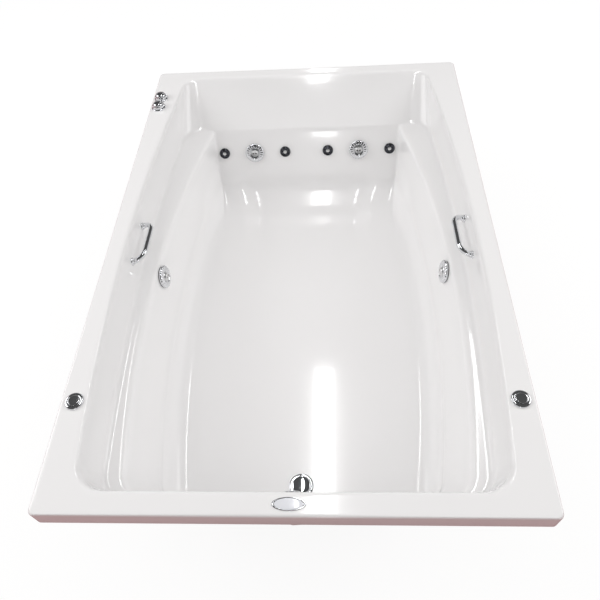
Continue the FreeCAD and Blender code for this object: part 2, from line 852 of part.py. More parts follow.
def jet_gasket(place):
    return placed(turned("gasket", [
        ("jet_barrel_radius + hole_gap", "0"), ("jet_flange_radius", "0"),
        ("jet_flange_radius", "jet_gasket"), ("jet_barrel_radius + hole_gap", "jet_gasket")]), place)


# ---------------------------------------------------------------- small jets

MICRO_FLOOR = "(micro_gasket + micro_floor)"


def micro_housing(place):
    """A small jet's flange, barrel and hose stub; its face is dished for the spinner."""
    return placed(turned("housing", [
        ("micro_bore_radius", "-shell_wall - tee_length - port_length"),
        ("micro_stub_radius", "-shell_wall - tee_length - port_length"),
        ("micro_stub_radius", "-micro_barrel_length"), ("micro_barrel_radius", "-micro_barrel_length"),
        ("micro_barrel_radius", "micro_gasket"), ("micro_radius", "micro_gasket"),
        ("micro_radius", "micro_gasket + micro_edge"),
        ("(micro_radius + spinner_radius + running_gap) / 2", "micro_gasket + micro_height"),
        ("spinner_radius + running_gap", "micro_gasket + micro_height"),
        ("spinner_radius + running_gap", MICRO_FLOOR), ("micro_bore_radius", MICRO_FLOOR)]), place)


def micro_spinner(name, place):
    """The rotating face, whose hollow shaft feeds its outlets."""
    base = f"{MICRO_FLOOR} + running_gap"
    body = turned(name, [
        ("0", f"{base} - spinner_shaft"), ("micro_bore_radius - shaft_gap", f"{base} - spinner_shaft"),
        ("micro_bore_radius - shaft_gap", base), ("spinner_radius", base),
        *domed("spinner_radius", base, "spinner_height")])
    outlet = circle(body, "XY_Plane", "spinner_hole_circle", "0", "spinner_hole_radius",
                    f"{base} + spinner_floor")
    repeated(body, pocketed(body, outlet, "spinner_height", True), "spinner_holes")
    keep(body, name, place)


def micro_nut(place):
    return placed(turned("nut", [
        ("micro_barrel_radius + shaft_gap", f"{WALL_BACK} - micro_nut_height"),
        ("micro_nut_radius", f"{WALL_BACK} - micro_nut_height"), ("micro_nut_radius", WALL_BACK),
        ("micro_barrel_radius + shaft_gap", WALL_BACK)]), place)


def micro_gasket(place):
    return placed(turned("gasket", [
        ("micro_barrel_radius + hole_gap", "0"), ("micro_radius", "0"),
        ("micro_radius", "micro_gasket"), ("micro_barrel_radius + hole_gap", "micro_gasket")]), place)


# ---------------------------------------------------------------- deck controls

def air_valve(place):
    """The face plate and barrel of an air control, with its pipe stub below."""
    return placed(turned("valve", [
        ("0", "-shell_wall - valve_length - air_port_length"),
        ("air_port_radius", "-shell_wall - valve_length - air_port_length"),
        ("air_port_radius", "-shell_wall - valve_length"),
        ("control_barrel_radius", "-shell_wall - valve_length"), ("control_barrel_radius", "0"),
        ("knob_plate_radius", "0"), ("knob_plate_radius", "knob_plate_height / 2"),
        ("knob_plate_radius - knob_plate_height / 2", "knob_plate_height"),
        ("knob_stem_radius + shaft_gap", "knob_plate_height"),
        ("knob_stem_radius + shaft_gap", "-knob_stem_length - running_gap"),
        ("0", "-knob_stem_length - running_gap")]), place)


def air_knob(name, place):
    base = "(knob_plate_height + running_gap)"
    body = turned(name, [
        ("0", "-knob_stem_length"), ("knob_stem_radius", "-knob_stem_length"), ("knob_stem_radius", base),
        ("knob_radius", base), *domed("knob_radius", base, "knob_height")])
    notched(body, "knob_notch", "knob_radius + knob_notch / 2", "knob_notches")
    keep(body, name, place)


def deck_nut(place):
    return placed(turned("nut", [
        ("control_barrel_radius + shaft_gap", "-shell_wall - control_nut_height"),
        ("control_nut_radius", "-shell_wall - control_nut_height"), ("control_nut_radius", "-shell_wall"),
        ("control_barrel_radius + shaft_gap", "-shell_wall")]), place)


BUTTON_TOP = "(button_ring_height + button_rise)"
BUTTON_UNDERSIDE = f"({BUTTON_TOP} - button_thickness)"
BUTTON_FLOOR = f"({BUTTON_UNDERSIDE} - button_travel - running_gap)"


def button_ring(name, place):
    """The ring and barrel that guide a push button."""
    keep(turned(name, [
        ("button_stem_radius + running_gap", "-button_barrel_length"),
        ("control_barrel_radius", "-button_barrel_length"), ("control_barrel_radius", "0"),
        ("button_ring_radius", "0"), ("button_ring_radius", "button_ring_height / 2"),
        ("button_ring_radius - button_ring_height / 2", "button_ring_height"),
        ("button_radius + running_gap", "button_ring_height"),
        ("button_radius + running_gap", BUTTON_FLOOR),
        ("button_stem_radius + running_gap", BUTTON_FLOOR)]), name, place)


def button_cap(name, place):
    """The dished cap that is pressed, on its stem."""
    keep(turned(name, [
        ("0", "-button_stem_length"), ("button_stem_radius", "-button_stem_length"),
        ("button_stem_radius", BUTTON_UNDERSIDE), ("button_radius", BUTTON_UNDERSIDE),
        ("button_radius", f"{BUTTON_TOP} - button_rise / 2"), ("button_radius - button_rise", BUTTON_TOP),
        ("0", f"{BUTTON_TOP} - button_rise / 2")]), name, place)


# ---------------------------------------------------------------- drain, waste and overflow

def drain_flange():
    """The floor ring, its sleeve and the cross that guides the stopper's stem."""
    body = turned("drain_flange", [
        ("drain_bore_radius", "-drain_sleeve_length"), ("drain_sleeve_radius", "-drain_sleeve_length"),
        ("drain_sleeve_radius", "0"), ("drain_radius", "0"), ("drain_radius", "drain_edge"),
        ("drain_radius - drain_height", "drain_height"), ("drain_sleeve_radius", "drain_height"),
        ("drain_bore_radius", "drain_seat")])
    low = "-drain_sleeve_length + shaft_gap"
    reach = "(drain_bore_radius + drain_sleeve_radius) / 2"
    padded(body, circle(body, "XY_Plane", "0", "0", "guide_radius", low), "guide_height")
    padded(body, rectangle(body, "XY_Plane", f"-{reach}", reach, "-guide_arm / 2", "guide_arm / 2", low),
           "guide_height")
    padded(body, rectangle(body, "XY_Plane", "-guide_arm / 2", "guide_arm / 2", f"-{reach}", reach, low),
           "guide_height")
    pocketed(body, circle(body, "XY_Plane", "0", "0", "stopper_stem_radius + shaft_gap"))
    keep(body, "drain_flange", DRAIN_PLACE)


def drain_stopper():
    base = "(drain_height + running_gap)"
    keep(turned("drain_stopper", [
        ("0", "-stopper_stem_length"), ("stopper_stem_radius", "-stopper_stem_length"),
        ("stopper_stem_radius", base), ("stopper_radius", base),
        *domed("stopper_radius", base, "stopper_height")]), "drain_stopper", DRAIN_PLACE)


ARM_HEIGHT = "(arm_rise + arm_bore + shoe_wall - shoe_depth)"


def drain_shoe():
    """The cup under the floor that takes the sleeve, with the outlet tail and the overflow's arm."""
    body = turned("drain_shoe", [
        ("waste_bore", "-shoe_depth - waste_tail"), ("waste_radius", "-shoe_depth - waste_tail"),
        ("waste_radius", "-shoe_depth"), ("shoe_radius", "-shoe_depth"), ("shoe_radius", "-shell_wall"),
        ("drain_sleeve_radius + shaft_gap", "-shell_wall"),
        ("drain_sleeve_radius + shaft_gap", "shoe_wall - shoe_depth"),
        ("waste_bore", "shoe_wall - shoe_depth")])
    start = "(drain_sleeve_radius + shoe_wall)"
    end = "(shoe_radius + arm_length)"
    arm = circle(body, "XZ_Plane", "0", ARM_HEIGHT, "waste_bore - shaft_gap", start)
    padded(body, arm, f"{end} - {start}")
    pocketed(body, circle(body, "XZ_Plane", "0", ARM_HEIGHT, "arm_bore"), f"{end} + overcut", True)
    keep(body, "drain_shoe", DRAIN_PLACE)


def overflow_fitting():
    """The hollow elbow behind the overflow hole, and the pipe from it to the shoe's arm."""
    backward = OVERFLOW_PLACE.Rotation.multVec(Vector(0, 0, -1))
    start = OVERFLOW_PLACE.Base + backward * (WALL + GAP)
    length = size("elbow_length") - GAP
    wall = size("shoe_wall")
    cup = Part.makeCylinder(size("elbow_radius"), length, start, backward)
    room = Part.makeCylinder(size("elbow_radius") - wall, length - wall, start, backward)
    stub_end = OVERFLOW_PLACE.Base + Vector(0, -size("overflow_set_back"), -size("elbow_stub"))
    stub, bore = [Part.makeCylinder(size(radius), size("elbow_stub"), stub_end)
                  for radius in ("waste_radius", "waste_bore")]
    elbow = document.addObject("Part::Feature", "overflow_elbow")
    elbow.Shape = cup.fuse(stub).cut(room.fuse(bore))
    keep(elbow, "overflow_elbow", standing(0, 0, 0))
    top = stub_end - Vector(0, 0, GAP)
    arm_end = DRAIN_PLACE.Base + Vector(0, -size("shoe_radius + arm_length - overflow_slip"),
                                        size(ARM_HEIGHT))
    corner = Vector(0, DRAIN_PLACE.Base.y - size("overflow_foot"), arm_end.z)
    pipe_part("overflow_pipe", [top, top - Vector(0, 0, size("overflow_drop")), corner, arm_end],
              "waste_radius", "overflow_bend")


def overflow_face():
    """The plate over the overflow hole and the knob that lifts the stopper."""
    keep(turned("overflow_plate", [
        ("overflow_shaft_radius + shaft_gap", "0"), ("overflow_radius", "0"),
        ("overflow_radius", "overflow_height / 2"),
        ("overflow_radius - overflow_height", "overflow_height"),
        ("overflow_shaft_radius + shaft_gap", "overflow_height")]), "overflow_plate", OVERFLOW_PLACE)
    base = "(overflow_height + running_gap)"
    knob = turned("overflow_knob", [
        ("0", "-overflow_shaft_length"), ("overflow_shaft_radius", "-overflow_shaft_length"),
        ("overflow_shaft_radius", base), ("overflow_knob_radius", base),
        *domed("overflow_knob_radius", base, "overflow_knob_height")])
    notched(knob, "overflow_notch", "overflow_knob_radius + overflow_notch / 2", "overflow_notches")
    keep(knob, "overflow_knob", OVERFLOW_PLACE)


# ---------------------------------------------------------------- suction

SUCTION_MIDDLE = "(-shell_wall - suction_tee_length / 2)"
SUCTION_PORT = "(suction_tee_radius + port_length)"


def suction_fitting():
    """The slotted safety cover, its wall flange and the tee behind the foot wall."""
    base = "(suction_flange + seat_gap)"
    inside = f"{base} + suction_cover_height - suction_cover_wall"
    cover = turned("suction_cover", [
        ("suction_cover_radius - suction_cover_wall", base), ("suction_cover_radius", base),
        ("suction_cover_radius", f"{base} + suction_cover_height / 2"),
        ("suction_cover_top", f"{base} + suction_cover_height"),
        ("0", f"{base} + suction_cover_height"), ("0", inside),
        ("suction_cover_top - suction_cover_wall / 2", inside),
        ("suction_cover_radius - suction_cover_wall", f"{base} + suction_cover_height / 2")])
    slot = circle(cover, "XY_Plane", "suction_slot_circle", "0", "suction_slot_radius")
    repeated(cover, pocketed(cover, slot), "suction_slots")
    keep(cover, "suction_cover", SUCTION_PLACE)
    keep(turned("suction_flange", [
        ("suction_barrel - tee_wall", "-shell_wall - suction_flange - tee_wall"),
        ("suction_barrel", "-shell_wall - suction_flange - tee_wall"), ("suction_barrel", "0"),
        ("suction_radius", "0"), ("suction_radius", "suction_flange"),
        ("suction_barrel - tee_wall", "suction_flange")]), "suction_flange", SUCTION_PLACE)
    back = "(-shell_wall - suction_tee_length)"
    tee = turned("suction_tee", [
        ("suction_barrel + shaft_gap", WALL_BACK), ("suction_tee_radius", WALL_BACK),
        ("suction_tee_radius", back), ("0", back), ("0", f"{back} + tee_wall"),
        ("suction_barrel + shaft_gap", f"{back} + tee_wall")])
    start = "(suction_barrel + tee_wall / 2)"
    port = circle(tee, "YZ_Plane", "0", SUCTION_MIDDLE, "suction_pipe_radius", start)
    padded(tee, port, f"{SUCTION_PORT} - {start}")
    bore = circle(tee, "YZ_Plane", "0", SUCTION_MIDDLE, "suction_pipe_radius - pipe_wall")
    pocketed(tee, bore, f"{SUCTION_PORT} + overcut", True)
    keep(tee, "suction_tee", SUCTION_PLACE)


# ---------------------------------------------------------------- pipes

def bent_pipe(points, radius, bend):
    """A hollow pipe along straight runs that are joined by tangent bends."""
    edges = []
    start = points[0]
    for before, corner, after in zip(points, points[1:], points[2:]):
        back = (before - corner).normalize()
        ahead = (after - corner).normalize()
        half = back.getAngle(ahead) / 2
        setback = bend / math.tan(half)
        middle = (back + ahead).normalize()
        centre = corner + middle * (bend / math.sin(half))
        edges.append(Part.LineSegment(start, corner + back * setback).toShape())
        edges.append(Part.Arc(corner + back * setback, centre - middle * bend,
                              corner + ahead * setback).toShape())
        start = corner + ahead * setback
    edges.append(Part.LineSegment(start, points[-1]).toShape())
    path = Part.Wire(edges)
    direction = points[1] - points[0]

    def swept(section_radius):
        section = Part.Wire(Part.makeCircle(section_radius, points[0], direction))
        return path.makePipeShell([section], True, False)

    return swept(radius).cut(swept(radius - size("pipe_wall")))


def pipe_part(name, points, radius, bend):
    feature = document.addObject("Part::Feature", name)
    feature.Shape = bent_pipe(points, size(radius), size(bend))
    keep(feature, name, standing(0, 0, 0))


def behind(place, back, up):
    """A point behind a wall fitting."""
    return place.multVec(Vector(0, up, -back))


def past(corner, port, reach):
    """The end of a pipe that comes from a corner and runs on a little beyond its last port."""
    return port + (port - corner).normalize() * size(reach)


ROW = end_wall(ARMREST, WELL, size("jet_row_depth"), 0, "head")
WATER_ROW = behind(ROW, WATER_LANE, 0)
AIR_ROW = behind(ROW, -size(TEE_MIDDLE), AIR_LANE)
PUMP_Y = WATER_ROW.y + size("outlet_offset")


def water_pipes():
    """One line from the left side jet, along the back row and down to the right side jet."""
    right = behind(JET_PLACES["side_right"], WATER_LANE + size("port_slack"), 0)
    corner = Vector(right.x, WATER_ROW.y, WATER_ROW.z)
    end = past(corner, right, "pipe_end")
    points = [end, corner, Vector(-corner.x, corner.y, corner.z), Vector(-end.x, end.y, end.z)]
    pipe_part("water_pipe", points, "water_pipe_radius", "water_bend")


def air_pipes():
    """The rear control feeds the back row and the right side jet, the front one the left side jet."""
    right = behind(TEE_PLACES["side_right"], -size(TEE_MIDDLE), AIR_LANE + size("port_slack"))
    left = Vector(-right.x, right.y, right.z)
    below = Vector(0, 0, -size("shell_wall + valve_length + air_port_length + seat_gap"))
    rear = KNOB_PLACES["air_rear"].Base + below
    front = KNOB_PLACES["air_front"].Base + below
    turn = size("air_bend") * 2
    corner = Vector(right.x, AIR_ROW.y, AIR_ROW.z)
    pipe_part("air_pipe_back", [
        rear, Vector(rear.x, rear.y, rear.z - turn), Vector(rear.x + turn, AIR_ROW.y, AIR_ROW.z),
        corner, past(corner, right, "pipe_end / 2")], "air_pipe_radius", "air_bend")
    corner = Vector(left.x, front.y - 2 * turn, left.z)
    pipe_part("air_pipe_side", [
        front, Vector(front.x, front.y, front.z - turn), corner,
        past(corner, left, "pipe_end / 2")], "air_pipe_radius", "air_bend")


def suction_pipe():
    """The line from the foot wall, along the left side, to the pump's inlet."""
    start = SUCTION_PLACE.multVec(Vector(size(SUCTION_PORT) + GAP, 0, size(SUCTION_MIDDLE)))
    lane = -size("rim_width / 2 - suction_lane")
    low = size("suction_height")
    inlet = size("pump_place - inlet_length") - GAP
    pump = size("pump_height")
    pipe_part("suction_pipe", [
        start, Vector(lane, start.y, start.z), Vector(lane, start.y + 2 * size("suction_bend"), low),
        Vector(lane, PUMP_Y, pump), Vector(inlet, PUMP_Y, pump)], "suction_pipe_radius", "suction_bend")


# ---------------------------------------------------------------- pump

def pump_axis(along):
    """A placement on the pump's axis, whose Z points along +X and whose Y points up."""
    origin = Vector(size("pump_place") + along, PUMP_Y, size("pump_height"))
    return facing(origin, Vector(1, 0, 0), Vector(0, 0, 1))


MOTOR_START = "(volute_width + seat_gap + seal_plate_width + seat_gap)"
MOTOR_END = f"({MOTOR_START} + motor_length)"


def pump_volute():
    """The wet end: inlet at the front, outlet upwards, open towards the motor."""
    body = turned("pump_volute", [
        ("suction_pipe_radius - pipe_wall", "-inlet_length"),
        ("suction_pipe_radius + tee_wall", "-inlet_length"), ("suction_pipe_radius + tee_wall", "0"),
        ("volute_radius", "0"), ("volute_radius", "volute_width"),
        ("suction_pipe_radius - pipe_wall", "volute_width")])
    middle = "volute_width / 2"
    top = WATER_ROW.z - size("pump_height + water_pipe_radius + seat_gap")
    outlet = circle(body, "XZ_Plane", "-outlet_offset", middle, "outlet_radius")
    padded(body, outlet, str(top), True)
    open_end = "volute_width + overcut"
    revolved(body, [("0", "volute_wall"), ("chamber_radius", "volute_wall"),
                    ("chamber_radius", open_end), ("0", open_end)], "Groove")
    bore = circle(body, "XZ_Plane", "-outlet_offset", middle, "outlet_bore")
    pocketed(body, bore, f"{top} + overcut")
    keep(body, "pump_volute", pump_axis(0))


def impeller():
    """A backed disc with straight vanes on a hub."""
    start = "volute_wall + impeller_gap"
    back = f"{start} + impeller_width"
    body = turned("impeller", [
        ("shaft_radius + shaft_gap", start), ("impeller_hub", start),
        ("impeller_hub", f"{back} - impeller_vane"), ("impeller_radius", f"{back} - impeller_vane"),
        ("impeller_radius", back), ("shaft_radius + shaft_gap", back)])
    root = "(shaft_radius + impeller_hub) / 2"
    vane = rectangle(body, "XY_Plane", root, "impeller_radius", "-impeller_vane / 2", "impeller_vane / 2",
                     start)
    repeated(body, padded(body, vane, "impeller_width - impeller_vane / 2"), "impeller_vanes")
    keep(body, "impeller", pump_axis(0))


def seal_plate():
    start = "volute_width + seat_gap"
    keep(turned("seal_plate", [
        ("shaft_radius + shaft_gap", start), ("volute_radius", start),
        ("volute_radius", f"{start} + seal_plate_width"),
        ("shaft_radius + shaft_gap", f"{start} + seal_plate_width")]), "seal_plate", pump_axis(0))


def motor():
    """The ribbed motor casing, its shaft with the rotor, and the fan under its cover."""
    casing = turned("motor_casing", [
        ("shaft_radius + shaft_gap", MOTOR_START), ("motor_radius", MOTOR_START),
        ("motor_radius", MOTOR_END), ("shaft_radius + shaft_gap", MOTOR_END),
        ("shaft_radius + shaft_gap", f"{MOTOR_END} - motor_wall"),
        ("motor_radius - motor_wall", f"{MOTOR_END} - motor_wall"),
        ("motor_radius - motor_wall", f"{MOTOR_START} + motor_wall"),
        ("shaft_radius + shaft_gap", f"{MOTOR_START} + motor_wall")])
    rib = rectangle(casing, "XY_Plane", "motor_radius - motor_wall / 2", "motor_radius + motor_rib_height",
                    "-motor_rib_width / 2", "motor_rib_width / 2", f"{MOTOR_START} + motor_wall")
    repeated(casing, padded(casing, rib, "motor_length - 2 * motor_wall"), "motor_ribs")
    keep(casing, "motor_casing", pump_axis(0))
    rotor_start = f"({MOTOR_START} + (motor_length - rotor_length) / 2)"
    shaft_end = f"({MOTOR_END} + fan_cover_length / 2 + fan_width)"
    keep(turned("motor_shaft", [
        ("0", "volute_wall + impeller_gap"), ("shaft_radius", "volute_wall + impeller_gap"),
        ("shaft_radius", rotor_start), ("rotor_radius", rotor_start),
        ("rotor_radius", f"{rotor_start} + rotor_length"), ("shaft_radius", f"{rotor_start} + rotor_length"),
        ("shaft_radius", shaft_end), ("0", shaft_end)]), "motor_shaft", pump_axis(0))
    fan_start = f"({MOTOR_END} + fan_cover_length / 2 - fan_width / 2)"
    fan = turned("motor_fan", [
        ("shaft_radius + shaft_gap", fan_start), ("fan_hub", fan_start),
        ("fan_hub", f"{fan_start} + fan_width"),
        ("shaft_radius + shaft_gap", f"{fan_start} + fan_width")])
    blade = rectangle(fan, "XY_Plane", "fan_hub - impeller_vane", "fan_radius", "-impeller_vane / 2",
                      "impeller_vane / 2", fan_start)
    repeated(fan, padded(fan, blade, "fan_width"), "impeller_vanes")
    keep(fan, "motor_fan", pump_axis(0))
    cover_start = f"({MOTOR_END} + seat_gap)"
    cover_end = f"({cover_start} + fan_cover_length)"
    inner = "motor_radius - fan_cover_wall"
    inner_end = f"{cover_end} - fan_cover_wall"
    cover = turned("fan_cover", [
        (inner, cover_start), ("motor_radius", cover_start),
        ("motor_radius", f"{cover_end} - fan_cover_bevel"), ("motor_radius - fan_cover_bevel", cover_end),
        ("0", cover_end), ("0", inner_end), (f"{inner} - fan_cover_bevel", inner_end),
        (inner, f"{inner_end} - fan_cover_bevel")])
    vent = circle(cover, "XY_Plane", "vent_circle", "0", "vent_radius", f"{inner_end} - overcut")
    repeated(cover, pocketed(cover, vent, "fan_cover_wall + 2 * overcut", True), "cover_vents")
    keep(cover, "fan_cover", pump_axis(0))


def pump_bracket():
    """The board between the runners and the saddle that carries the motor."""
    board = primitive("Box", "pump_plank", Length="2 * runner_place - runner_width",
                      Width="pump_board_width", Height="pump_board")
    board.Placement = standing(-size("runner_place - runner_width / 2"), -size("pump_board_width") / 2, 0)
    saddle = primitive("Box", "saddle_block", Length="saddle_length", Width="saddle_width",
                       Height="pump_height - motor_radius / 2")
    middle = size(f"pump_place + {MOTOR_START} + motor_length / 2")
    saddle.Placement = standing(middle - size("saddle_length") / 2, -size("saddle_width") / 2, 0)
    clear = primitive("Cylinder", "saddle_round", Radius="motor_radius + motor_rib_height + seat_gap",
                      Height="rim_width")
    clear.Placement = FreeCAD.Placement(Vector(-size("rim_width") / 2, 0, size("pump_height")),
                                        FreeCAD.Rotation(Vector(0, 1, 0), 90))
    joined = boolean("Fuse", "bracket_joined", board, saddle)
    keep(boolean("Cut", "pump_bracket", joined, clear), "pump_bracket", standing(0, PUMP_Y, 0))


def control_box():
    """The switch box on the motor and the gland where a lead would leave it."""
    low = size("pump_height + motor_radius + motor_rib_height") + GAP
    left = size(f"pump_place + {MOTOR_START} + box_place")
    near = PUMP_Y + size("box_shift - box_width / 2")
    case = primitive("Box", "box_case", Length="box_length", Width="box_width", Height="box_height")
    room = primitive("Box", "box_room", Length="box_length - 2 * box_wall",
                     Width="box_width - 2 * box_wall", Height="box_height - 2 * box_wall")
    room.Placement = standing(*[size("box_wall")] * 3)
    keep(boolean("Cut", "control_box", case, room), "control_box", standing(left, near, low))
    neck = "gland_radius - gland_bevel"
    gland = turned("cable_gland", [
        ("gland_bore", "0"), ("gland_radius", "0"), ("gland_radius", "gland_nut_length"),
        (neck, "gland_nut_length + gland_bevel"), (neck, "gland_length"), ("gland_bore", "gland_length")])
    origin = Vector(left + size("box_length"), near + size("box_width / 2"), low + size("box_height / 2"))
    keep(gland, "cable_gland", facing(origin, Vector(1, 0, 0), Vector(0, 0, 1)))


# ---------------------------------------------------------------- supports

BOARD_TOP = size("rim_height - basin_depth - shell_wall")
BOARD_LOW = BOARD_TOP - size("board_thickness")


def supports():
    """The board bonded under the floor and the two runners that it stands on."""
    foot = -size("rim_length") / 2
    board = primitive("Box", "base_board", Length="board_width", Height="board_thickness",
                      Width="rim_length - board_from_foot - board_from_head")
    keep(board, "base_board", standing(-size("board_width") / 2, foot + size("board_from_foot"), BOARD_LOW))
    runners = []
    for side in (-1, 1):
        runner = primitive("Box", "runner", Length="runner_width",
                           Width="rim_length - runner_from_foot - runner_from_head",
                           Height="rim_height - basin_depth - shell_wall - board_thickness")
        left = side * size("runner_place") - size("runner_width") / 2
        runners.append(placed(runner, standing(left, foot + size("runner_from_foot"), 0)))
    grouped("runners", runners)


# ---------------------------------------------------------------- building and writing

def build():
    tub_shell()
    name_badge()
    for name, wall in GRIP_PLACES.items():
        grip(f"grip_{name}", wall)
    grip_fasteners()
    for name, place in JET_PLACES.items():
        jet_bezel(f"jet_bezel_{name}", place)
        jet_nozzle(f"jet_nozzle_{name}", place)
    for name, place in MICRO_PLACES.items():
        micro_spinner(f"micro_spinner_{name}", place)
    for name, place in KNOB_PLACES.items():
        air_knob(f"{name}_knob", place)
    for label, make, places in (
            ("jet_housings", jet_housing, JET_PLACES), ("jet_tees", jet_tee, TEE_PLACES),
            ("jet_gaskets", jet_gasket, JET_PLACES), ("micro_housings", micro_housing, MICRO_PLACES),
            ("micro_nuts", micro_nut, MICRO_PLACES), ("micro_gaskets", micro_gasket, MICRO_PLACES),
            ("air_valves", air_valve, KNOB_PLACES),
            ("deck_nuts", deck_nut, {**KNOB_PLACES, **BUTTON_PLACES})):
        grouped(label, [make(place) for place in places.values()])
    for name, place in BUTTON_PLACES.items():
        button_ring(f"button_ring_{name}", place)
        button_cap(f"button_cap_{name}", place)
    drain_flange()
    drain_stopper()
    drain_shoe()
    overflow_fitting()
    overflow_face()
    suction_fitting()
    water_pipes()
    air_pipes()
    suction_pipe()
    pump_volute()
    impeller()
    seal_plate()
    motor()
    pump_bracket()
    control_box()
    supports()


def check():
    """Stop on any failed object and on any missing or invalid sub-part."""
    for thing in document.Objects:
        if "Invalid" in thing.State or "Error" in thing.State:
            raise RuntimeError(f"{thing.Label} failed: {thing.State}")
    for part in PARTS:
        if part.Shape.isNull() or not part.Shape.isValid() or not part.Shape.Solids:
            raise RuntimeError(f"{part.Label} has no valid shape")


build()
document.recompute()
check()
os.makedirs("parts", exist_ok=True)
for part in PARTS:
    part.Shape.exportStep(f"parts/{part.Label}.step")
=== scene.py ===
"""A jetted bathtub: its moulded shell, jets, grips, deck controls, waste and pump, dressed in a studio."""

import json
import math
from collections import namedtuple

import bpy
import numpy as np
from bpy.props import FloatProperty, FloatVectorProperty, IntProperty, PointerProperty
from mathutils import Matrix, Vector


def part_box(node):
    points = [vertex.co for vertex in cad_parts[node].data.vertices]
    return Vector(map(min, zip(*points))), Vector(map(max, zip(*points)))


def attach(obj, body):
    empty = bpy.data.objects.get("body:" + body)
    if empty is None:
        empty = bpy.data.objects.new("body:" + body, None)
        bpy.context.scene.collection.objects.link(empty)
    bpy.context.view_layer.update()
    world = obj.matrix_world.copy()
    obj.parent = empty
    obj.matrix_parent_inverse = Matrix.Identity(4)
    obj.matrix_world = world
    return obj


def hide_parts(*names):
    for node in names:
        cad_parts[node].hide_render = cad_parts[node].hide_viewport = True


bl_info = {
    "name": "Jetted Bathtub",
    "version": (1, 0, 0),
    "blender": (4, 5, 0),
    "location": "3D View > Sidebar > Bathtub",
    "description": "Builds the looks of a jetted bathtub around its packed frame",
    "category": "Add Mesh",
}

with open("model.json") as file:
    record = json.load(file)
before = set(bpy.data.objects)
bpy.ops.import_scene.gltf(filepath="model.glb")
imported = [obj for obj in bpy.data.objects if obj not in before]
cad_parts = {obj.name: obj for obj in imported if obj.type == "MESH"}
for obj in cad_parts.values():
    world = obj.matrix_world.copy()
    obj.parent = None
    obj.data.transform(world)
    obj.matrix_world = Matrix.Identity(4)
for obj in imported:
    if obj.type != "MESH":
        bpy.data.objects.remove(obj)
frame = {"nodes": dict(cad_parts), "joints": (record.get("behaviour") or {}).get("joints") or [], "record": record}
RIM_LOW, RIM_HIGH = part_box("tub_shell")
WIDTH = RIM_HIGH.x - RIM_LOW.x
LENGTH = RIM_HIGH.y - RIM_LOW.y
TOP = RIM_HIGH.z
JOINTS = {joint["name"]: joint for joint in frame["joints"]}
JETS = ("back_left", "back_right", "side_left", "side_right")
SMALL_JETS = ("outer_left", "inner_left", "inner_right", "outer_right")
AIR_KNOBS = ("front", "rear")
SIDES = ("left", "right")


# ---------------- what a user would change

def amount(name, default, description, **limits):
    return FloatProperty(name=name, default=default, description=description, **limits)


def distance(name, default, description):
    return amount(name, default, description, unit="LENGTH", subtype="DISTANCE", precision=4)


def count(name, default, description, **limits):
    return IntProperty(name=name, default=default, description=description, **limits)


def tint(name, default, description):
    return FloatVectorProperty(name=name, default=default, description=description, size=3,
                               subtype="COLOR", min=0, max=1)


class BasinShape(bpy.types.PropertyGroup):
    """The moulded shell."""
    wall: distance("Wall", 0.008, "Thickness of the moulded wall")
    lip: distance("Lip", 0.058, "Height of the turned-down lip")
    rim_corner: distance("Rim corner", 0.014, "Radius of the rim's corners, seen from above")
    rim_edge: distance("Rim edge", 0.009, "How far the deck's outer edge is rounded")
    opening_edge: distance("Opening edge", 0.016, "How far the edge of the opening is rounded")
    side_deck: distance("Side deck", 0.0596, "Width of the deck at the sides")
    foot_deck: distance("Foot deck", 0.0594, "Width of the deck at the foot")
    head_deck: distance("Head deck", 0.0524, "Width of the deck at the head")
    armrest_depth: distance("Armrest depth", 0.150, "How far the armrests lie under the deck")
    armrest_crown: distance("Armrest crown", 0.010, "Fall of the armrests towards the well")
    armrest_edge: distance("Armrest edge", 0.016, "How far the armrests' edges are rounded")
    armrest_side: distance("Armrest side", 0.053, "How far the armrests reach in from the opening")
    well_depth: distance("Well depth", 0.340, "Depth at which the walls start to turn into the floor")
    basin_depth: distance("Basin depth", 0.430, "Depth of the floor under the deck")
    bolster: distance("Bolster", 0.014, "Height of the floor's sides above its middle channel")


class FittingShape(bpy.types.PropertyGroup):
    """The metal fittings."""
    bezel_petals: count("Bezel petals", 20, "Radial petals on the face of a large jet", min=6, max=30)
    knob_flutes: count("Knob flutes", 12, "Finger flutes around an air knob", min=6, max=24)
    bar_radius: distance("Bar radius", 0.0086, "Radius of a grip's bar")
    bar_bend: distance("Bar bend", 0.034, "Bend radius of a grip's bar")
    bar_reach: distance("Bar reach", 0.044, "How far a grip stands off the wall")
    bar_span: distance("Bar span", 0.160, "Distance between a grip's feet")
    volute_bolts: count("Volute bolts", 8, "Bolts that clamp the pump's wet end", min=4, max=16)


class Finishes(bpy.types.PropertyGroup):
    """The colours of the finishes."""
    acrylic: tint("Acrylic", (0.955, 0.95, 0.95), "Gloss face of the shell")
    fibreglass: tint("Fibreglass", (0.66, 0.62, 0.55), "Sprayed backing of the shell")
    chrome: tint("Chrome", (0.78, 0.79, 0.81), "Polished plating")
    smoked: tint("Smoked chrome", (0.085, 0.088, 0.10), "Dark polished plating")
    enamel: tint("Motor enamel", (0.035, 0.050, 0.075), "Paint on the motor")
    pipework: tint("Pipework", (0.80, 0.80, 0.77), "Moulded pipes and tees")
    timber: tint("Timber", (0.42, 0.27, 0.14), "Sawn supports")


class StageSetup(bpy.types.PropertyGroup):
    """The floor, the lamps and the camera."""
    lens: amount("Lens", 34.88, "Focal length of the camera, in millimetres", min=10, max=200,
                 subtype="DISTANCE_CAMERA")
    side_power: amount("Side power", 46.0, "Power of the large soft lamps beside the bathtub", min=0,
                       subtype="POWER")
    sky: amount("Sky", 0.955, "Strength of the soft light from all around, above the walls", min=0, max=4)
    ceiling: amount("Ceiling", 0.10, "Brightness of the ceiling that metal reflects", min=0, max=2)
    tube: amount("Tube", 14.0, "Brightness of the ceiling tubes that glossy faces reflect", min=0, max=60)


# ---------------- placing and making meshes

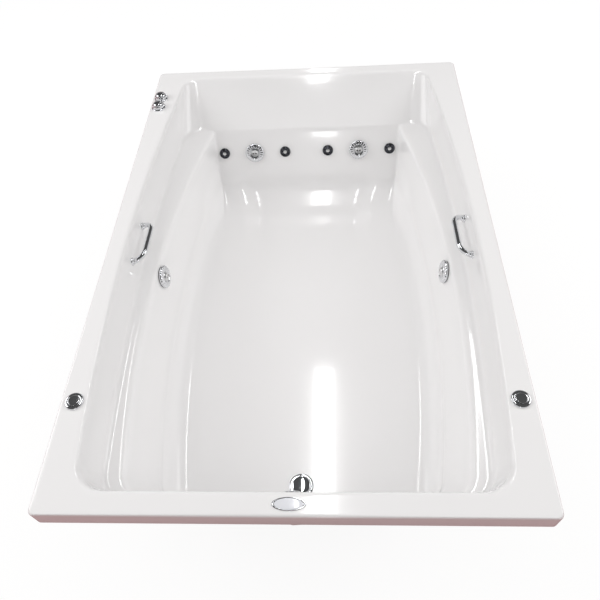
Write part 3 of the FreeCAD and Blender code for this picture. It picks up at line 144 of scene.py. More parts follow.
TINY = 1e-6
# In degrees: the bend from which an edge is shaded as sharp, and the bend from which a bevel rounds it.
CREASE = 35
BEVELLED = 30


def facing(origin, outward):
    """The matrix that puts a piece's own Z along outward and its Y as near to upward as it can."""
    out = Vector(outward).normalized()
    across = Vector((0, 0, 1)).cross(out)
    across = across.normalized() if across.length > TINY else Vector((1, 0, 0))
    matrix = Matrix((across, out.cross(across), out)).transposed().to_4x4()
    matrix.translation = Vector(origin)
    return matrix


def joint_place(name):
    return facing(JOINTS[name]["pos_m"], JOINTS[name]["axis"])


def shifted(place, x=0.0, y=0.0, z=0.0):
    return place @ Matrix.Translation((x, y, z))


def in_scene(name, data):
    thing = bpy.data.objects.new(name, data)
    bpy.context.scene.collection.objects.link(thing)
    return thing


def mesh_piece(name, points, faces, edges=()):
    mesh = bpy.data.meshes.new(name)
    mesh.from_pydata([tuple(point) for point in points], edges, faces)
    mesh.validate()
    return in_scene(name, mesh)


def baked(piece):
    """Replace a piece's mesh with what its modifiers make of it."""
    bpy.context.view_layer.update()
    graph = bpy.context.evaluated_depsgraph_get()
    made = bpy.data.meshes.new_from_object(piece.evaluated_get(graph), depsgraph=graph)
    piece.modifiers.clear()
    piece.data = made
    return piece


def modified(piece, kind, **settings):
    """Replace a piece's mesh with what one modifier makes of it."""
    modifier = piece.modifiers.new(kind.lower(), kind)
    for key, value in settings.items():
        setattr(modifier, key, value)
    return baked(piece)


def smoothed(piece, degrees=CREASE):
    piece.data.shade_smooth()
    piece.data.set_sharp_from_angle(angle=math.radians(degrees))
    return piece


def softened(piece, width, segments=3):
    """Round the sharp edges of a piece."""
    return smoothed(modified(piece, "BEVEL", width=width, segments=segments, limit_method="ANGLE",
                             angle_limit=math.radians(BEVELLED)))


def cut(piece, cutter):
    """Take a cutter away from a piece, and delete it."""
    modified(piece, "BOOLEAN", operation="DIFFERENCE", solver="EXACT", object=cutter)
    bpy.data.objects.remove(cutter)
    return piece


def millimetres(*corners):
    """The corners of a section, (radius, height, flute, ripple), given in millimetres."""
    return [tuple(value / 1000 for value in corner) for corner in corners]


Corner = namedtuple("Corner", "radius height flute ripple", defaults=(0.0, 0.0))
ON_AXIS = 1e-7


def turned(name, corners, place, steps=64, count=0):
    """A turned piece. A corner may be drawn in (flute) and lowered (ripple) count times around."""
    points = []
    rings = []
    for corner in (Corner(*corner) for corner in corners):
        around = 1 if corner.radius < ON_AXIS else steps
        rings.append([len(points) + step % around for step in range(steps)])
        for step in range(around):
            turn = math.tau * step / steps
            wave = 0.5 - 0.5 * math.cos(count * turn)
            radius = corner.radius - corner.flute * wave
            points.append((radius * math.cos(turn), radius * math.sin(turn),
                           corner.height - corner.ripple * wave))
    faces = []
    for low, high in zip(rings, rings[1:] + rings[:1]):
        if low[0] == low[1] and high[0] == high[1]:
            continue
        for step in range(steps):
            ahead = (step + 1) % steps
            face = [low[step], low[ahead], high[ahead], high[step]]
            faces.append([index for spot, index in enumerate(face) if index not in face[:spot]])
    piece = mesh_piece(name, points, faces)
    piece.data.transform(place)
    return piece


def rod(name, radius, low, high, place, steps):
    """A round rod along the place's own Z."""
    return turned(name, [(0, low), (radius, low), (radius, high), (0, high)], place, steps)


def painted(piece, finish):
    piece.data.materials.append(FINISH[finish])
    return piece


def finished(piece, body, slot, *nodes):
    """Hand a piece to the body that it moves with. It gets its slot's finish if it has none yet."""
    if not piece.data.materials:
        painted(piece, slot)
    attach(piece, body)
    if nodes:
        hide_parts(*nodes)
    return piece


def fitting(name, profile, place, body, node, edge=0.0004, segments=3, **form):
    """A turned chrome fitting that stands for its construction node."""
    return finished(softened(turned(name, profile, place, **form), edge, segments), body, "chrome", node)


def joined(name, pieces):
    """Several meshes as one piece."""
    bpy.ops.object.select_all(action="DESELECT")
    for piece in pieces:
        piece.select_set(True)
    bpy.context.view_layer.objects.active = pieces[0]
    bpy.ops.object.join()
    whole = bpy.context.view_layer.objects.active
    whole.name = name
    whole.data.name = name
    return whole


# ---------------- node trees

def fill(tree, node, **values):
    """Give inputs, by name, a value or the output that feeds them; a list is for inputs of one name."""
    for key, value in values.items():
        label = key.replace("_", " ")
        sockets = [socket for socket in node.inputs if socket.name == label and socket.enabled]
        given = value if isinstance(value, list) else [value]
        if len(sockets) < len(given):
            raise RuntimeError(f"{node.name} has no input {label}")
        for socket, item in zip(sockets, given):
            if isinstance(item, bpy.types.NodeSocket):
                tree.links.new(item, socket)
            else:
                socket.default_value = item


def add(tree, kind, settings=None, **values):
    """A new node with its settings and its inputs."""
    node = tree.nodes.new(kind)
    for key, value in (settings or {}).items():
        setattr(node, key, value)
    fill(tree, node, **values)
    return node


def new_group(name, family, inputs, outputs):
    """An empty node group, the sockets of its input node, and its output node."""
    group = bpy.data.node_groups.new(name, f"{family}NodeTree")
    for way, sockets in (("INPUT", inputs), ("OUTPUT", outputs)):
        for label, kind in sockets.items():
            group.interface.new_socket(label, in_out=way, socket_type=f"NodeSocket{kind}")
    return group, group.nodes.new("NodeGroupInput").outputs, group.nodes.new("NodeGroupOutput")


def new_geometry(name, **inputs):
    sockets = {"Geometry": "Geometry", **inputs, "Material": "Material"}
    return new_group(name, "Geometry", sockets, {"Geometry": "Geometry"})


def close_geometry(tree, given, out, geometry):
    """Realize what was made, give it the Material input and put it out."""
    real = add(tree, "GeometryNodeRealizeInstances", Geometry=geometry)
    dressed = add(tree, "GeometryNodeSetMaterial", Geometry=real.outputs[0], Material=given["Material"])
    fill(tree, out, Geometry=dressed.outputs[0])
    return tree


def ring_tree():
    """Copies of a piece in a ring about Z, each turned to face outwards."""
    tree, given, out = new_geometry("ring_of_pieces", Piece="Object", Count="Int", Radius="Float")
    circle = add(tree, "GeometryNodeMeshCircle", Vertices=given["Count"], Radius=given["Radius"])
    copy = add(tree, "GeometryNodeObjectInfo", Object=given["Piece"])
    share = add(tree, "ShaderNodeMath", {"operation": "DIVIDE"}, Value=[math.tau, given["Count"]])
    index = add(tree, "GeometryNodeInputIndex")
    turn = add(tree, "ShaderNodeMath", {"operation": "MULTIPLY"}, Value=[index.outputs[0], share.outputs[0]])
    spin = add(tree, "ShaderNodeCombineXYZ", Z=turn.outputs[0])
    placed = add(tree, "GeometryNodeInstanceOnPoints", Points=circle.outputs[0],
                 Instance=copy.outputs["Geometry"], Rotation=spin.outputs[0])
    return close_geometry(tree, given, out, placed.outputs[0])


def bar_tree():
    """A round bar along an open line of points, with its corners bent."""
    tree, given, out = new_geometry("bent_bar", Radius="Float", Bend="Float")
    line = add(tree, "GeometryNodeMeshToCurve", Mesh=given["Geometry"])
    bent = add(tree, "GeometryNodeFilletCurve", {"mode": "POLY"}, Curve=line.outputs[0],
               Radius=given["Bend"], Count=14)
    section = add(tree, "GeometryNodeCurvePrimitiveCircle", Resolution=28, Radius=given["Radius"])
    bar = add(tree, "GeometryNodeCurveToMesh", Curve=bent.outputs[0], Profile_Curve=section.outputs["Curve"],
              Fill_Caps=True)
    return close_geometry(tree, given, out, bar.outputs[0])


def grown_from(tree, piece, **inputs):
    """What a tree makes of a piece, as a plain mesh."""
    modifier = piece.modifiers.new(tree.name, "NODES")
    modifier.node_group = tree
    sockets = {item.name: item.identifier for item in tree.interface.items_tree
               if item.item_type == "SOCKET" and item.in_out == "INPUT"}
    for label, value in inputs.items():
        modifier[sockets[label]] = value
    return baked(piece)


def ring_of(name, copy, count, radius, place, material):
    """A ring of copies of a small piece, which is used up."""
    piece = mesh_piece(name, [(0, 0, 0)], [])
    grown_from(TREES["ring"], piece, Piece=copy, Count=count, Radius=radius, Material=material)
    bpy.data.objects.remove(copy)
    piece.data.transform(place)
    return smoothed(piece)


def bar_along(name, points, radius, bend, material):
    edges = [(index, index + 1) for index in range(len(points) - 1)]
    piece = mesh_piece(name, points, [], edges)
    grown_from(TREES["bar"], piece, Radius=radius, Bend=bend, Material=material)
    return smoothed(piece)


TREES = {"ring": ring_tree(), "bar": bar_tree()}


# ---------------- materials

def colour_group():
    """Two colours, mixed by a soft noise."""
    group, given, out = new_group(
        "soft_mottle", "Shader", {"Colour": "Color", "Second": "Color", "Scale": "Float"},
        {"Colour": "Color"})
    place = add(group, "ShaderNodeTexCoord").outputs["Object"]
    noise = add(group, "ShaderNodeTexNoise", Vector=place, Scale=given["Scale"], Detail=4)
    mix = add(group, "ShaderNodeMix", {"data_type": "RGBA"}, Factor=noise.outputs["Fac"],
              A=given["Colour"], B=given["Second"])
    fill(group, out, Colour=mix.outputs[2])
    return group


def grain_group():
    """Roughness and height that vary with a fine grain."""
    group, given, out = new_group(
        "fine_grain", "Shader", {"Scale": "Float", "Smoothest": "Float", "Roughest": "Float"},
        {"Roughness": "Float", "Height": "Float"})
    place = add(group, "ShaderNodeTexCoord").outputs["Object"]
    noise = add(group, "ShaderNodeTexNoise", Vector=place, Scale=given["Scale"], Detail=3).outputs["Fac"]
    span = add(group, "ShaderNodeMapRange", Value=noise, To_Min=given["Smoothest"], To_Max=given["Roughest"])
    fill(group, out, Roughness=span.outputs["Result"], Height=noise)
    return group


GROUPS = {"mottle": colour_group(), "grain": grain_group()}
# How much darker the second tone of a finish is, where none is given.
SECOND_SHADE = 0.93
METAL = {"Metallic": 1.0}


def shaded(colour, share):
    return [value * share for value in colour]


def new_material(name):
    material = bpy.data.materials.new(name)
    material.use_nodes = True
    return material, material.node_tree


def finish_of(name, colour, second, mottle, grain, rough, bump, depth, settings=None):
    """A material whose colour and grain vary over the surface.

    Mottle and grain are scales, rough is the smoothest and the roughest, and settings are for the shader.
    """
    material, tree = new_material(name)
    second = second or shaded(colour, SECOND_SHADE)
    tone = add(tree, "ShaderNodeGroup", {"node_tree": GROUPS["mottle"]}, Colour=(*colour, 1),
               Second=(*second, 1), Scale=mottle)
    surface = add(tree, "ShaderNodeGroup", {"node_tree": GROUPS["grain"]}, Scale=grain,
                  Smoothest=rough[0], Roughest=rough[1])
    shader = tree.nodes["Principled BSDF"]
    fill(tree, shader, Base_Color=tone.outputs["Colour"], Roughness=surface.outputs["Roughness"],
         **(settings or {}))
    if bump:
        relief = add(tree, "ShaderNodeBump", Strength=bump, Distance=depth, Height=surface.outputs["Height"])
        fill(tree, shader, Normal=relief.outputs["Normal"])
    return material


# Timber: how far the noise is stretched along the boards, and its dark and full share of the colour.
TIMBER_STRETCH = (1, 0.06, 1)
TIMBER_STOPS = ((0.35, 0.62), (0.62, 1.0))


def timber_finish(colour):
    """Sawn softwood: long grain lines along the boards."""
    material = finish_of("sawn_timber", colour, None, 6, 120, (0.55, 0.75), 0.25, 0.0005)
    tree = material.node_tree
    place = add(tree, "ShaderNodeTexCoord").outputs["Object"]
    stretch = add(tree, "ShaderNodeMapping", Vector=place, Scale=TIMBER_STRETCH)
    lines = add(tree, "ShaderNodeTexNoise", Vector=stretch.outputs["Vector"], Scale=55, Detail=6,
                Distortion=0.6)
    ramp = add(tree, "ShaderNodeValToRGB", Fac=lines.outputs["Fac"])
    for stop, (spot, share) in zip(ramp.color_ramp.elements, TIMBER_STOPS):
        stop.position = spot
        stop.color = (*shaded(colour, share), 1)
    fill(tree, tree.nodes["Principled BSDF"], Base_Color=ramp.outputs["Color"])
    return material


def make_finishes(tones):
    """Every finish of the bathtub, by its slot; fibreglass and satin have no slot of their own."""
    rows = {
        "acrylic": ("gloss_acrylic", tones.acrylic, shaded(tones.acrylic, 0.985), 2.2, 5, (0.10, 0.15),
                    0.10, 0.002, {"Coat Weight": 0.35, "Coat Roughness": 0.03, "Specular IOR Level": 0.5}),
        "fibreglass": ("sprayed_fibreglass", tones.fibreglass, (0.74, 0.70, 0.62), 9, 85, (0.45, 0.8), 0.8,
                       0.0022),
        "chrome": ("polished_chrome", tones.chrome, None, 30, 60, (0.05, 0.11), 0.02, 0.0005, METAL),
        "satin": ("satin_chrome", (0.80, 0.80, 0.80), None, 40, 180, (0.24, 0.34), 0.05, 0.0005, METAL),
        "dark_chrome": ("smoked_chrome", tones.smoked, None, 40, 70, (0.08, 0.15), 0, 0, METAL),
        "badge_face": ("badge_enamel", (0.80, 0.82, 0.88), (0.86, 0.87, 0.90), 25, 60, (0.12, 0.18), 0, 0,
                       {"Coat Weight": 0.6, "Coat Roughness": 0.03}),
        "white_pvc": ("moulded_pipework", tones.pipework, shaded(tones.pipework, 0.94), 14, 260,
                      (0.32, 0.45), 0.10, 0.0003),
        "grey_pvc": ("grey_moulding", (0.16, 0.165, 0.18), None, 16, 240, (0.42, 0.58), 0.15, 0.0003),
        "black_plastic": ("black_moulding", (0.022, 0.022, 0.024), (0.034, 0.034, 0.036), 20, 420,
                          (0.38, 0.55), 0.25, 0.0002),
        "clear_hose": ("clear_hose", (0.62, 0.65, 0.68), (0.70, 0.72, 0.74), 25, 90, (0.16, 0.26), 0.05,
                       0.0005, {"Transmission Weight": 0.35}),
        "rubber": ("seal_rubber", (0.02, 0.02, 0.02), (0.035, 0.035, 0.035), 40, 300, (0.65, 0.85), 0.2,
                   0.0002),
        "steel": ("machined_steel", (0.50, 0.51, 0.53), None, 60, 300, (0.24, 0.38), 0.06, 0.0005, METAL),
        "motor_paint": ("motor_enamel", tones.enamel, None, 12, 190, (0.28, 0.42), 0.22, 0.0004,
                        {"Coat Weight": 0.3}),
    }
    made = {slot: finish_of(*row) for slot, row in rows.items()}
    made["timber"] = timber_finish(tones.timber)
    return made


FINISH = {}


# ---------------- the moulded shell

Level = namedtuple("Level", "depth half widest bow foot head foot_radius head_radius")
Form = namedtuple("Form", "widest sagitta foot_in head_in foot_radius head_radius")

# Outlines: where along the length they are widest, how far their sides curve in over half of the rim,
# how far in from the opening's ends they end, and the radii of their corners.
OPENING_FORM = Form(-0.100, 0.0557, 0.0, 0.0, 0.080, 0.060)
ARMREST_FORM = Form(-0.200, 0.1145, 0.021, 0.154, 0.090, 0.014)
WELL_FORM = Form(-0.120, 0.1153, 0.086, 0.230, 0.070, 0.014)
WELL_SIDE = 0.088
# The outline where the opening's wall meets the armrests.
UPPER_SIDE = 0.010
UPPER_RADIUS = 0.090
# The cove between walls and floor: its reach at the sides, foot and head, and its corners' change.
COVE_SIDE = 0.070
COVE_FOOT = 0.040
COVE_HEAD = 0.170
COVE_RADIUS = 0.045
# Points along the right half of every outline: foot line, foot corner, side, head corner, head line.
RUNS = (16, 12, 60, 12, 24)
COVE_STEPS = 10
FLOOR_RINGS = 26
LONGEST_STEP = 0.024
EDGE_STEPS = 7
# A rounded edge takes up at most this share of the faces beside it.
EDGE_SHARE = 0.45


def basin_levels(shape):
    """The outlines of the basin from the opening down to the floor."""
    foot = shape.foot_deck - LENGTH / 2
    head = LENGTH / 2 - shape.head_deck
    side = WIDTH / 2 - shape.side_deck

    def level(form, depth, half):
        return Level(depth, half, form.widest, LENGTH ** 2 / (8 * form.sagitta), foot + form.foot_in,
                     head - form.head_in, form.foot_radius, form.head_radius)

    opening = level(OPENING_FORM, 0, side)
    armrest = level(ARMREST_FORM, shape.armrest_depth, side - shape.armrest_side)
    well = level(WELL_FORM, shape.well_depth, side - WELL_SIDE)
    share = 1 - shape.armrest_crown / armrest.depth
    upper = opening._replace(
        depth=armrest.depth * share, half=side - UPPER_SIDE, foot=foot + (armrest.foot - foot) * share,
        head=head + (armrest.head - head) * share, foot_radius=UPPER_RADIUS, head_radius=UPPER_RADIUS)
    coves = []
    for step in range(1, COVE_STEPS + 1):
        turn = math.pi / 2 * step / COVE_STEPS
        inward = 1 - math.cos(turn)
        coves.append(well._replace(
            depth=well.depth + (shape.basin_depth - well.depth) * math.sin(turn),
            half=well.half - COVE_SIDE * inward, foot=well.foot + COVE_FOOT * inward,
            head=well.head - COVE_HEAD * inward, foot_radius=well.foot_radius - COVE_RADIUS * inward,
            head_radius=well.head_radius + COVE_RADIUS * inward))
    return opening, upper, armrest, well, coves


def grown(level, wall, drop=0.0):
    """The level's outline on the outside of the wall."""
    return level._replace(depth=level.depth + drop, half=level.half + wall, bow=level.bow + wall,
                          foot=level.foot - wall, head=level.head + wall,
                          foot_radius=level.foot_radius + wall, head_radius=level.head_radius + wall)


def line_points(start, end, count):
    start, end = np.array(start), np.array(end)
    return start + (end - start) * np.linspace(0, 1, count, endpoint=False)[:, None]


def arc_points(centre, radius, start, end, count):
    turns = np.linspace(start, end, count, endpoint=False)
    return np.column_stack((centre[0] + radius * np.cos(turns), centre[1] + radius * np.sin(turns)))


def corner_centre(level, end, radius, sign):
    """Centre of a corner's arc, and the angle at which the arc meets the bowed side."""
    across = end - sign * radius - level.widest
    out = math.sqrt((level.bow - radius) ** 2 - across ** 2)
    return (level.half - level.bow + out, end - sign * radius), math.atan2(across, out)


def closed_outline(foot, foot_corner, side, head_corner, head, height):
    """A ring from its right half. Corners are centre, radius, and the angles of their start and end."""
    right = np.vstack((
        line_points((0, foot), (foot_corner[0][0], foot), RUNS[0]), arc_points(*foot_corner, RUNS[1]), side,
        arc_points(*head_corner, RUNS[3]), line_points((head_corner[0][0], head), (0, head), RUNS[4]),
        [(0, head)]))
    flat = np.vstack((right, right[-2:0:-1] * (-1, 1)))
    return np.column_stack((flat, np.full(len(flat), height)))


def outline(level):
    foot_centre, foot_turn = corner_centre(level, level.foot, level.foot_radius, -1)
    head_centre, head_turn = corner_centre(level, level.head, level.head_radius, 1)
    side = arc_points((level.half - level.bow, level.widest), level.bow, foot_turn, head_turn, RUNS[2])
    return closed_outline(level.foot, (foot_centre, level.foot_radius, -math.pi / 2, foot_turn), side,
                          (head_centre, level.head_radius, head_turn, math.pi / 2), level.head,
                          TOP - level.depth)


def rectangle(inset, corner, height):
    """The rim's outline, with as many points as the basin's outlines have."""
    x, y = WIDTH / 2 - inset, LENGTH / 2 - inset
    side = line_points((x, corner - y), (x, y - corner), RUNS[2])
    return closed_outline(-y, ((x - corner, corner - y), corner, -math.pi / 2, 0), side,
                          ((x - corner, y - corner), corner, 0, math.pi / 2), y, height)


def rounded(rings, widths):
    """Round the section at each ring by its width, measured along the section."""
    made = [rings[0]]
    for before, ring, after, width in zip(rings, rings[1:], rings[2:], widths[1:]):
        if not width:
            made.append(ring)
            continue
        back = before - ring
        ahead = after - ring
        start = ring + back * np.minimum(width / np.linalg.norm(back, axis=1), EDGE_SHARE)[:, None]
        stop = ring + ahead * np.minimum(width / np.linalg.norm(ahead, axis=1), EDGE_SHARE)[:, None]
        for share in np.linspace(0, 1, EDGE_STEPS):
            made.append(start * (1 - share) ** 2 + ring * 2 * share * (1 - share) + stop * share ** 2)
    made.append(rings[-1])
    return made


def divided(rings):
    """Add rings where two neighbours lie far apart."""
    made = [rings[0]]
    for before, ring in zip(rings, rings[1:]):
        gap = np.linalg.norm(ring - before, axis=1).max()
        parts = max(1, math.ceil(gap / LONGEST_STEP))
        made += [before + (ring - before) * part / parts for part in range(1, parts + 1)]
    return made


def floor_rings(edge, height):
    """Rings from the floor's middle line out to its edge."""
    low, high = edge[:, 1].min(), edge[:, 1].max()
    inset = np.abs(edge[:, 0]).max()
    middle = np.column_stack((np.zeros(len(edge)), np.clip(edge[:, 1], low + inset, high - inset),
                              np.full(len(edge), height)))
    return [middle + (edge - middle) * share for share in np.linspace(0, 1, FLOOR_RINGS, endpoint=False)]


def eased(value):
    value = np.clip(value, 0, 1)
    return value * value * (3 - 2 * value)


# The channel down the backrest and along the floor: half width at the floor's foot and head end,
# how much wider it is where it fades out, and the width of its sloping edge.
CHANNEL_FOOT = 0.180
CHANNEL_HEAD = 0.197
CHANNEL_FLARE = 0.095
CHANNEL_EDGE = 0.080
CHANNEL_TOP = 0.262
CHANNEL_FADE = 0.02
# How much of the bolsters' height is left on the flat of the floor.
FLAT_SHARE = 0.06
# Where along the length the backrest starts and the bolsters rise, and over which distance.
BACKREST_START, BACKREST_RUN = 0.38, 0.15
BOLSTER_START, BOLSTER_RUN = 0.20, 0.25


def bolster_height(points, shape):
    """How far the surface stands into the basin beside the channel."""
    across, along = np.abs(points[..., 0]), points[..., 1]
    depth = TOP - points[..., 2]
    share = np.clip((along + LENGTH / 2) / LENGTH, 0, 1)
    flare = np.clip((shape.basin_depth - depth) / (shape.basin_depth - CHANNEL_TOP), 0, 1)
    half = CHANNEL_FOOT + (CHANNEL_HEAD - CHANNEL_FOOT) * share + CHANNEL_FLARE * flare
    near_head = eased((along - BACKREST_START) / BACKREST_RUN)
    full = FLAT_SHARE + (1 - FLAT_SHARE) * eased((along - BOLSTER_START) / BOLSTER_RUN)
    start = shape.well_depth + (CHANNEL_TOP - shape.well_depth) * near_head
    fade = eased((depth - start) / (shape.basin_depth - CHANNEL_FADE - start))
    return shape.bolster * full * eased((across - half) / CHANNEL_EDGE) * fade


def pushed_out(grid, heights):
    """Move the points of a grid along its normals."""
    around = np.roll(grid, -1, axis=1) - np.roll(grid, 1, axis=1)
    outward = np.gradient(grid, axis=0)
    normals = np.cross(outward, around)
    lengths = np.linalg.norm(normals, axis=2, keepdims=True)
    normals = np.divide(normals, lengths, out=np.zeros_like(normals), where=lengths > 1e-9)
    normals[..., 2][lengths[..., 0] < 1e-9] = 1
    return grid + normals * heights[..., None]


def shell_rings(shape):
    """Inner and outer rings of the shell, from the floor's middle over the rim to its underside."""
    opening, upper, armrest, well, coves = basin_levels(shape)
    wall = shape.wall
    inner = [outline(level) for level in (*reversed(coves), well, armrest, upper, opening)]
    inner_widths = [0] * (len(coves) + 1) + [shape.armrest_edge, shape.armrest_edge, shape.opening_edge]
    slim = shape.rim_corner - wall
    rim = [rectangle(0, shape.rim_corner, TOP), rectangle(0, shape.rim_corner, TOP - shape.lip),
           rectangle(wall, slim, TOP - shape.lip), rectangle(wall, slim, TOP - wall)]
    rim_widths = [shape.rim_edge, wall / 4, wall / 4, wall / 2]
    outer_levels = [grown(level, wall, wall) for level in (opening, upper, armrest)]
    outer_levels += [grown(level, wall, wall * math.sin(math.pi / 2 * step / COVE_STEPS))
                     for step, level in enumerate((well, *coves))]
    outer = [outline(level) for level in outer_levels]
    outer_widths = [wall, shape.armrest_edge, shape.armrest_edge, 0] + [0] * len(coves)
    rings = divided(rounded(inner + rim + outer, inner_widths + rim_widths + outer_widths))
    inside = floor_rings(inner[0], TOP - shape.basin_depth) + rings
    underside = floor_rings(outer[-1], TOP - shape.basin_depth - wall)[::-1]
    return inside, underside


def shell_grid(shape):
    """The shell's rings, and the number of the first one behind the lip."""
    inside, underside = shell_rings(shape)
    grid = np.array(inside)
    top = int(np.argmax(grid[:, 0, 2] >= TOP - TINY))
    basin = grid[:top]
    grid[:top] = pushed_out(basin, bolster_height(basin, shape))
    rows = np.arange(len(grid))
    back = (grid[:, 0, 2] < TOP - shape.lip / 2) & (grid[:, 0, 1] > 0.75 * shape.wall - LENGTH / 2)
    behind = int(np.argmax(back & (rows > top)))
    return np.concatenate((grid, np.array(underside))), behind


HOLE_REACH = 0.03
JET_WALL = -0.0053
HOLE_RADII = {"jet": 0.0285, "small_jet": 0.0155, "deck": 0.0145, "drain": 0.0225, "overflow": 0.018}


def fitting_holes():
    """A cutter for each fitting that passes through the shell."""
    spots = [(shifted(joint_place(f"bezel_{name}_turn"), z=JET_WALL), "jet") for name in JETS]
    spots += [(joint_place(f"spinner_{name}_spin"), "small_jet") for name in SMALL_JETS]
    spots += [(joint_place(f"air_{name}_turn"), "deck") for name in AIR_KNOBS]
    spots += [(deck_place(f"button_ring_{side}"), "deck") for side in SIDES]
    spots += [(floor_place(), "drain"), (joint_place("overflow_turn"), "overflow")]
    return joined("holes", [rod("hole", HOLE_RADII[kind], -HOLE_REACH, HOLE_REACH, place, 32)
                            for place, kind in spots])


def deck_place(node):
    low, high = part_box(node)
    return facing(((low.x + high.x) / 2, (low.y + high.y) / 2, TOP), (0, 0, 1))


def floor_place():
    """Where the drain's middle lies on the floor."""
    low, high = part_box("drain_stopper")
    floor = basin_levels(bpy.context.scene.basin_shape)[4][-1]
    return facing((0, (low.y + high.y) / 2, TOP - floor.depth), (0, 0, 1))


def ring_mesh(grid):
    """Points and faces of rings that start and end on a middle line, which is closed."""
    rows, columns = grid.shape[:2]
    faces = []
    for low in range(0, (rows - 1) * columns, columns):
        for column in range(columns):
            ahead = low + (column + 1) % columns
            faces.append((low + column, ahead, ahead + columns, low + column + columns))
    return grid.reshape(-1, 3), faces


class BATHTUB_OT_shell(bpy.types.Operator):
    """Mould the shell with its deck, lip, armrests, backrest and floor."""
    bl_idname = "bathtub.shell"
    bl_label = "Moulded shell"

    def execute(self, context):
        grid, behind = shell_grid(context.scene.basin_shape)
        piece = mesh_piece("moulded_shell", *ring_mesh(grid))
        painted(painted(piece, "acrylic"), "fibreglass")
        first = behind * grid.shape[1]
        for polygon in piece.data.polygons:
            polygon.material_index = int(polygon.index >= first)
        modified(piece, "WELD", merge_threshold=TINY)
        smoothed(cut(piece, fitting_holes()), 40)
        finished(piece, "tub", "acrylic", "tub_shell")
        return {"FINISHED"}


# ---------------- jets

BEZEL_FACE = millimetres(
    (12, -9.7), (15, -14.7), (23.7, -14.7), (23.7, 0), (39.5, 0, 1.2), (39.5, 2.2, 1.2),
    (38.4, 4.4, 1, 0.4), (34.5, 7, 0, 1.2), (30, 8.6, 0, 1.6), (25.5, 9, 0, 1), (23.2, 8.8), (21.4, 6.6),
    (18.8, 5.2), (17.1, 4.8), (17.3, 0))
BALL_RADIUS = 0.0170
BALL_FLAT = 0.0130
BALL_DISH = millimetres((9.8, 13.4), (8, 12.8), (0, 12.4))
BALL_STEPS = 17
# A ball's two outlets: radius, distance from the middle, what is bored out, and the black plug in it that paints
# the shade down the outlet.
OUTLET = 0.0034
OUTLET_PLACE = 0.0056
OUTLET_BORE = (0.002, 0.02)
OUTLET_SHADE_PLUG = (0.003, 0.0112)
# Points around a fluted piece for each of its flutes.
WAVE_STEPS = 8


class BATHTUB_OT_jets(bpy.types.Operator):
    """Make the face ring and the aiming ball of each large jet."""
    bl_idname = "bathtub.jets"
    bl_label = "Large jets"

    def execute(self, context):
        petals = context.scene.fitting_shape.bezel_petals
        for name in JETS:
            place = joint_place(f"bezel_{name}_turn")
            fitting(f"bezel_{name}", BEZEL_FACE, place, f"bezel_{name}", f"jet_bezel_{name}", segments=2,
                    steps=petals * WAVE_STEPS, count=petals)
            self.ball(name, place)
        return {"FINISHED"}

    def ball(self, name, place):
        tilt = math.asin(BALL_FLAT / BALL_RADIUS)
        arc = [(BALL_RADIUS * math.cos(turn), BALL_RADIUS * math.sin(turn))
               for turn in np.linspace(-tilt, tilt, BALL_STEPS)]
        ball = turned(f"ball_{name}", [(0.0, -BALL_FLAT), *arc, *BALL_DISH], place, 56)
        sides = [shifted(place, x=side * OUTLET_PLACE) for side in (-1, 1)]
        cut(ball, joined("outlets", [rod("outlet", OUTLET, *OUTLET_BORE, side, 24) for side in sides]))
        # A black plug down each outlet is painted shade: it stands in for the dark passage beyond the opening.
        throats = joined("throats", [rod("throat", OUTLET, *OUTLET_SHADE_PLUG, side, 24) for side in sides])
        ball = joined(f"ball_{name}", [softened(painted(ball, "satin"), 0.0004, 2),
                                       painted(throats, "black_plastic")])
        finished(ball, f"nozzle_{name}", "chrome", f"jet_nozzle_{name}")


SMALL_JET_HOUSING = millimetres(
    (8, -66), (10, -66), (10, -44), (15, -44), (15, 1.5), (22, 1.5), (22, 4.8), (20.5, 6.6), (18.5, 7.5),
    (16.8, 7), (16.8, 3.5), (8, 3.5))
SPINNER = millimetres(
    (0, -10.2), (7.95, -10.2), (7.95, 3.8), (16.5, 3.8, 0.6), (16.5, 6.2, 0.8), (14.2, 8, 0, 0.8),
    (10, 8.6, 0, 1.2), (7.6, 7), (0, 7))
SPINNER_OUTLET = 0.0027
SPINNER_OUTLET_PLACE = 0.0105
SPINNER_BORE = (0.005, 0.015)
SPINNER_HUB = millimetres((0, 6.8), (7, 6.8), (7.2, 7.8), (6, 8.6), (3.4, 9.1), (0, 9.2))


class BATHTUB_OT_small_jets(bpy.types.Operator):
    """Make the housing and the spinning face of each small jet."""
    bl_idname = "bathtub.small_jets"
    bl_label = "Small jets"

    def execute(self, context):
        housings = []
        for name in SMALL_JETS:
            place = joint_place(f"spinner_{name}_spin")
            housings.append(turned("housing", SMALL_JET_HOUSING, place, 56))
            face = turned(f"spinner_{name}", SPINNER, place, 60, 6)
            cut(face, joined("outlets", [self.outlet(place, math.tau * third / 3) for third in range(3)]))
            hub = turned("hub", SPINNER_HUB, place, 40)
            face = joined(f"spinner_{name}", [softened(painted(face, "dark_chrome"), 0.0003, 2),
                                              softened(painted(hub, "satin"), 0.0003, 2)])
            finished(face, f"spinner_{name}", "dark_chrome", f"micro_spinner_{name}")
        housing = softened(joined("small_jet_housings", housings), 0.0005)
        finished(housing, "tub", "dark_chrome", "micro_housings")
        return {"FINISHED"}

    def outlet(self, place, turn):
        aside = shifted(place @ Matrix.Rotation(turn, 4, "Z"), x=SPINNER_OUTLET_PLACE)
        return rod("outlet", SPINNER_OUTLET, *SPINNER_BORE, aside, 20)


# ---------------- grips

GRIP_TILT = math.radians(18)
GRIP_DROP = 0.064
BAR_START = 0.002
ROSETTE = millimetres((0, -0.5), (12.8, -0.5), (12.8, 2.2), (11.8, 4), (9.4, 5), (0, 5.4))
COLLAR = millimetres((0, 0), (10.6, 0), (10.6, 6), (10, 10), (9.2, 13), (8.6, 14.5), (0, 14.5))


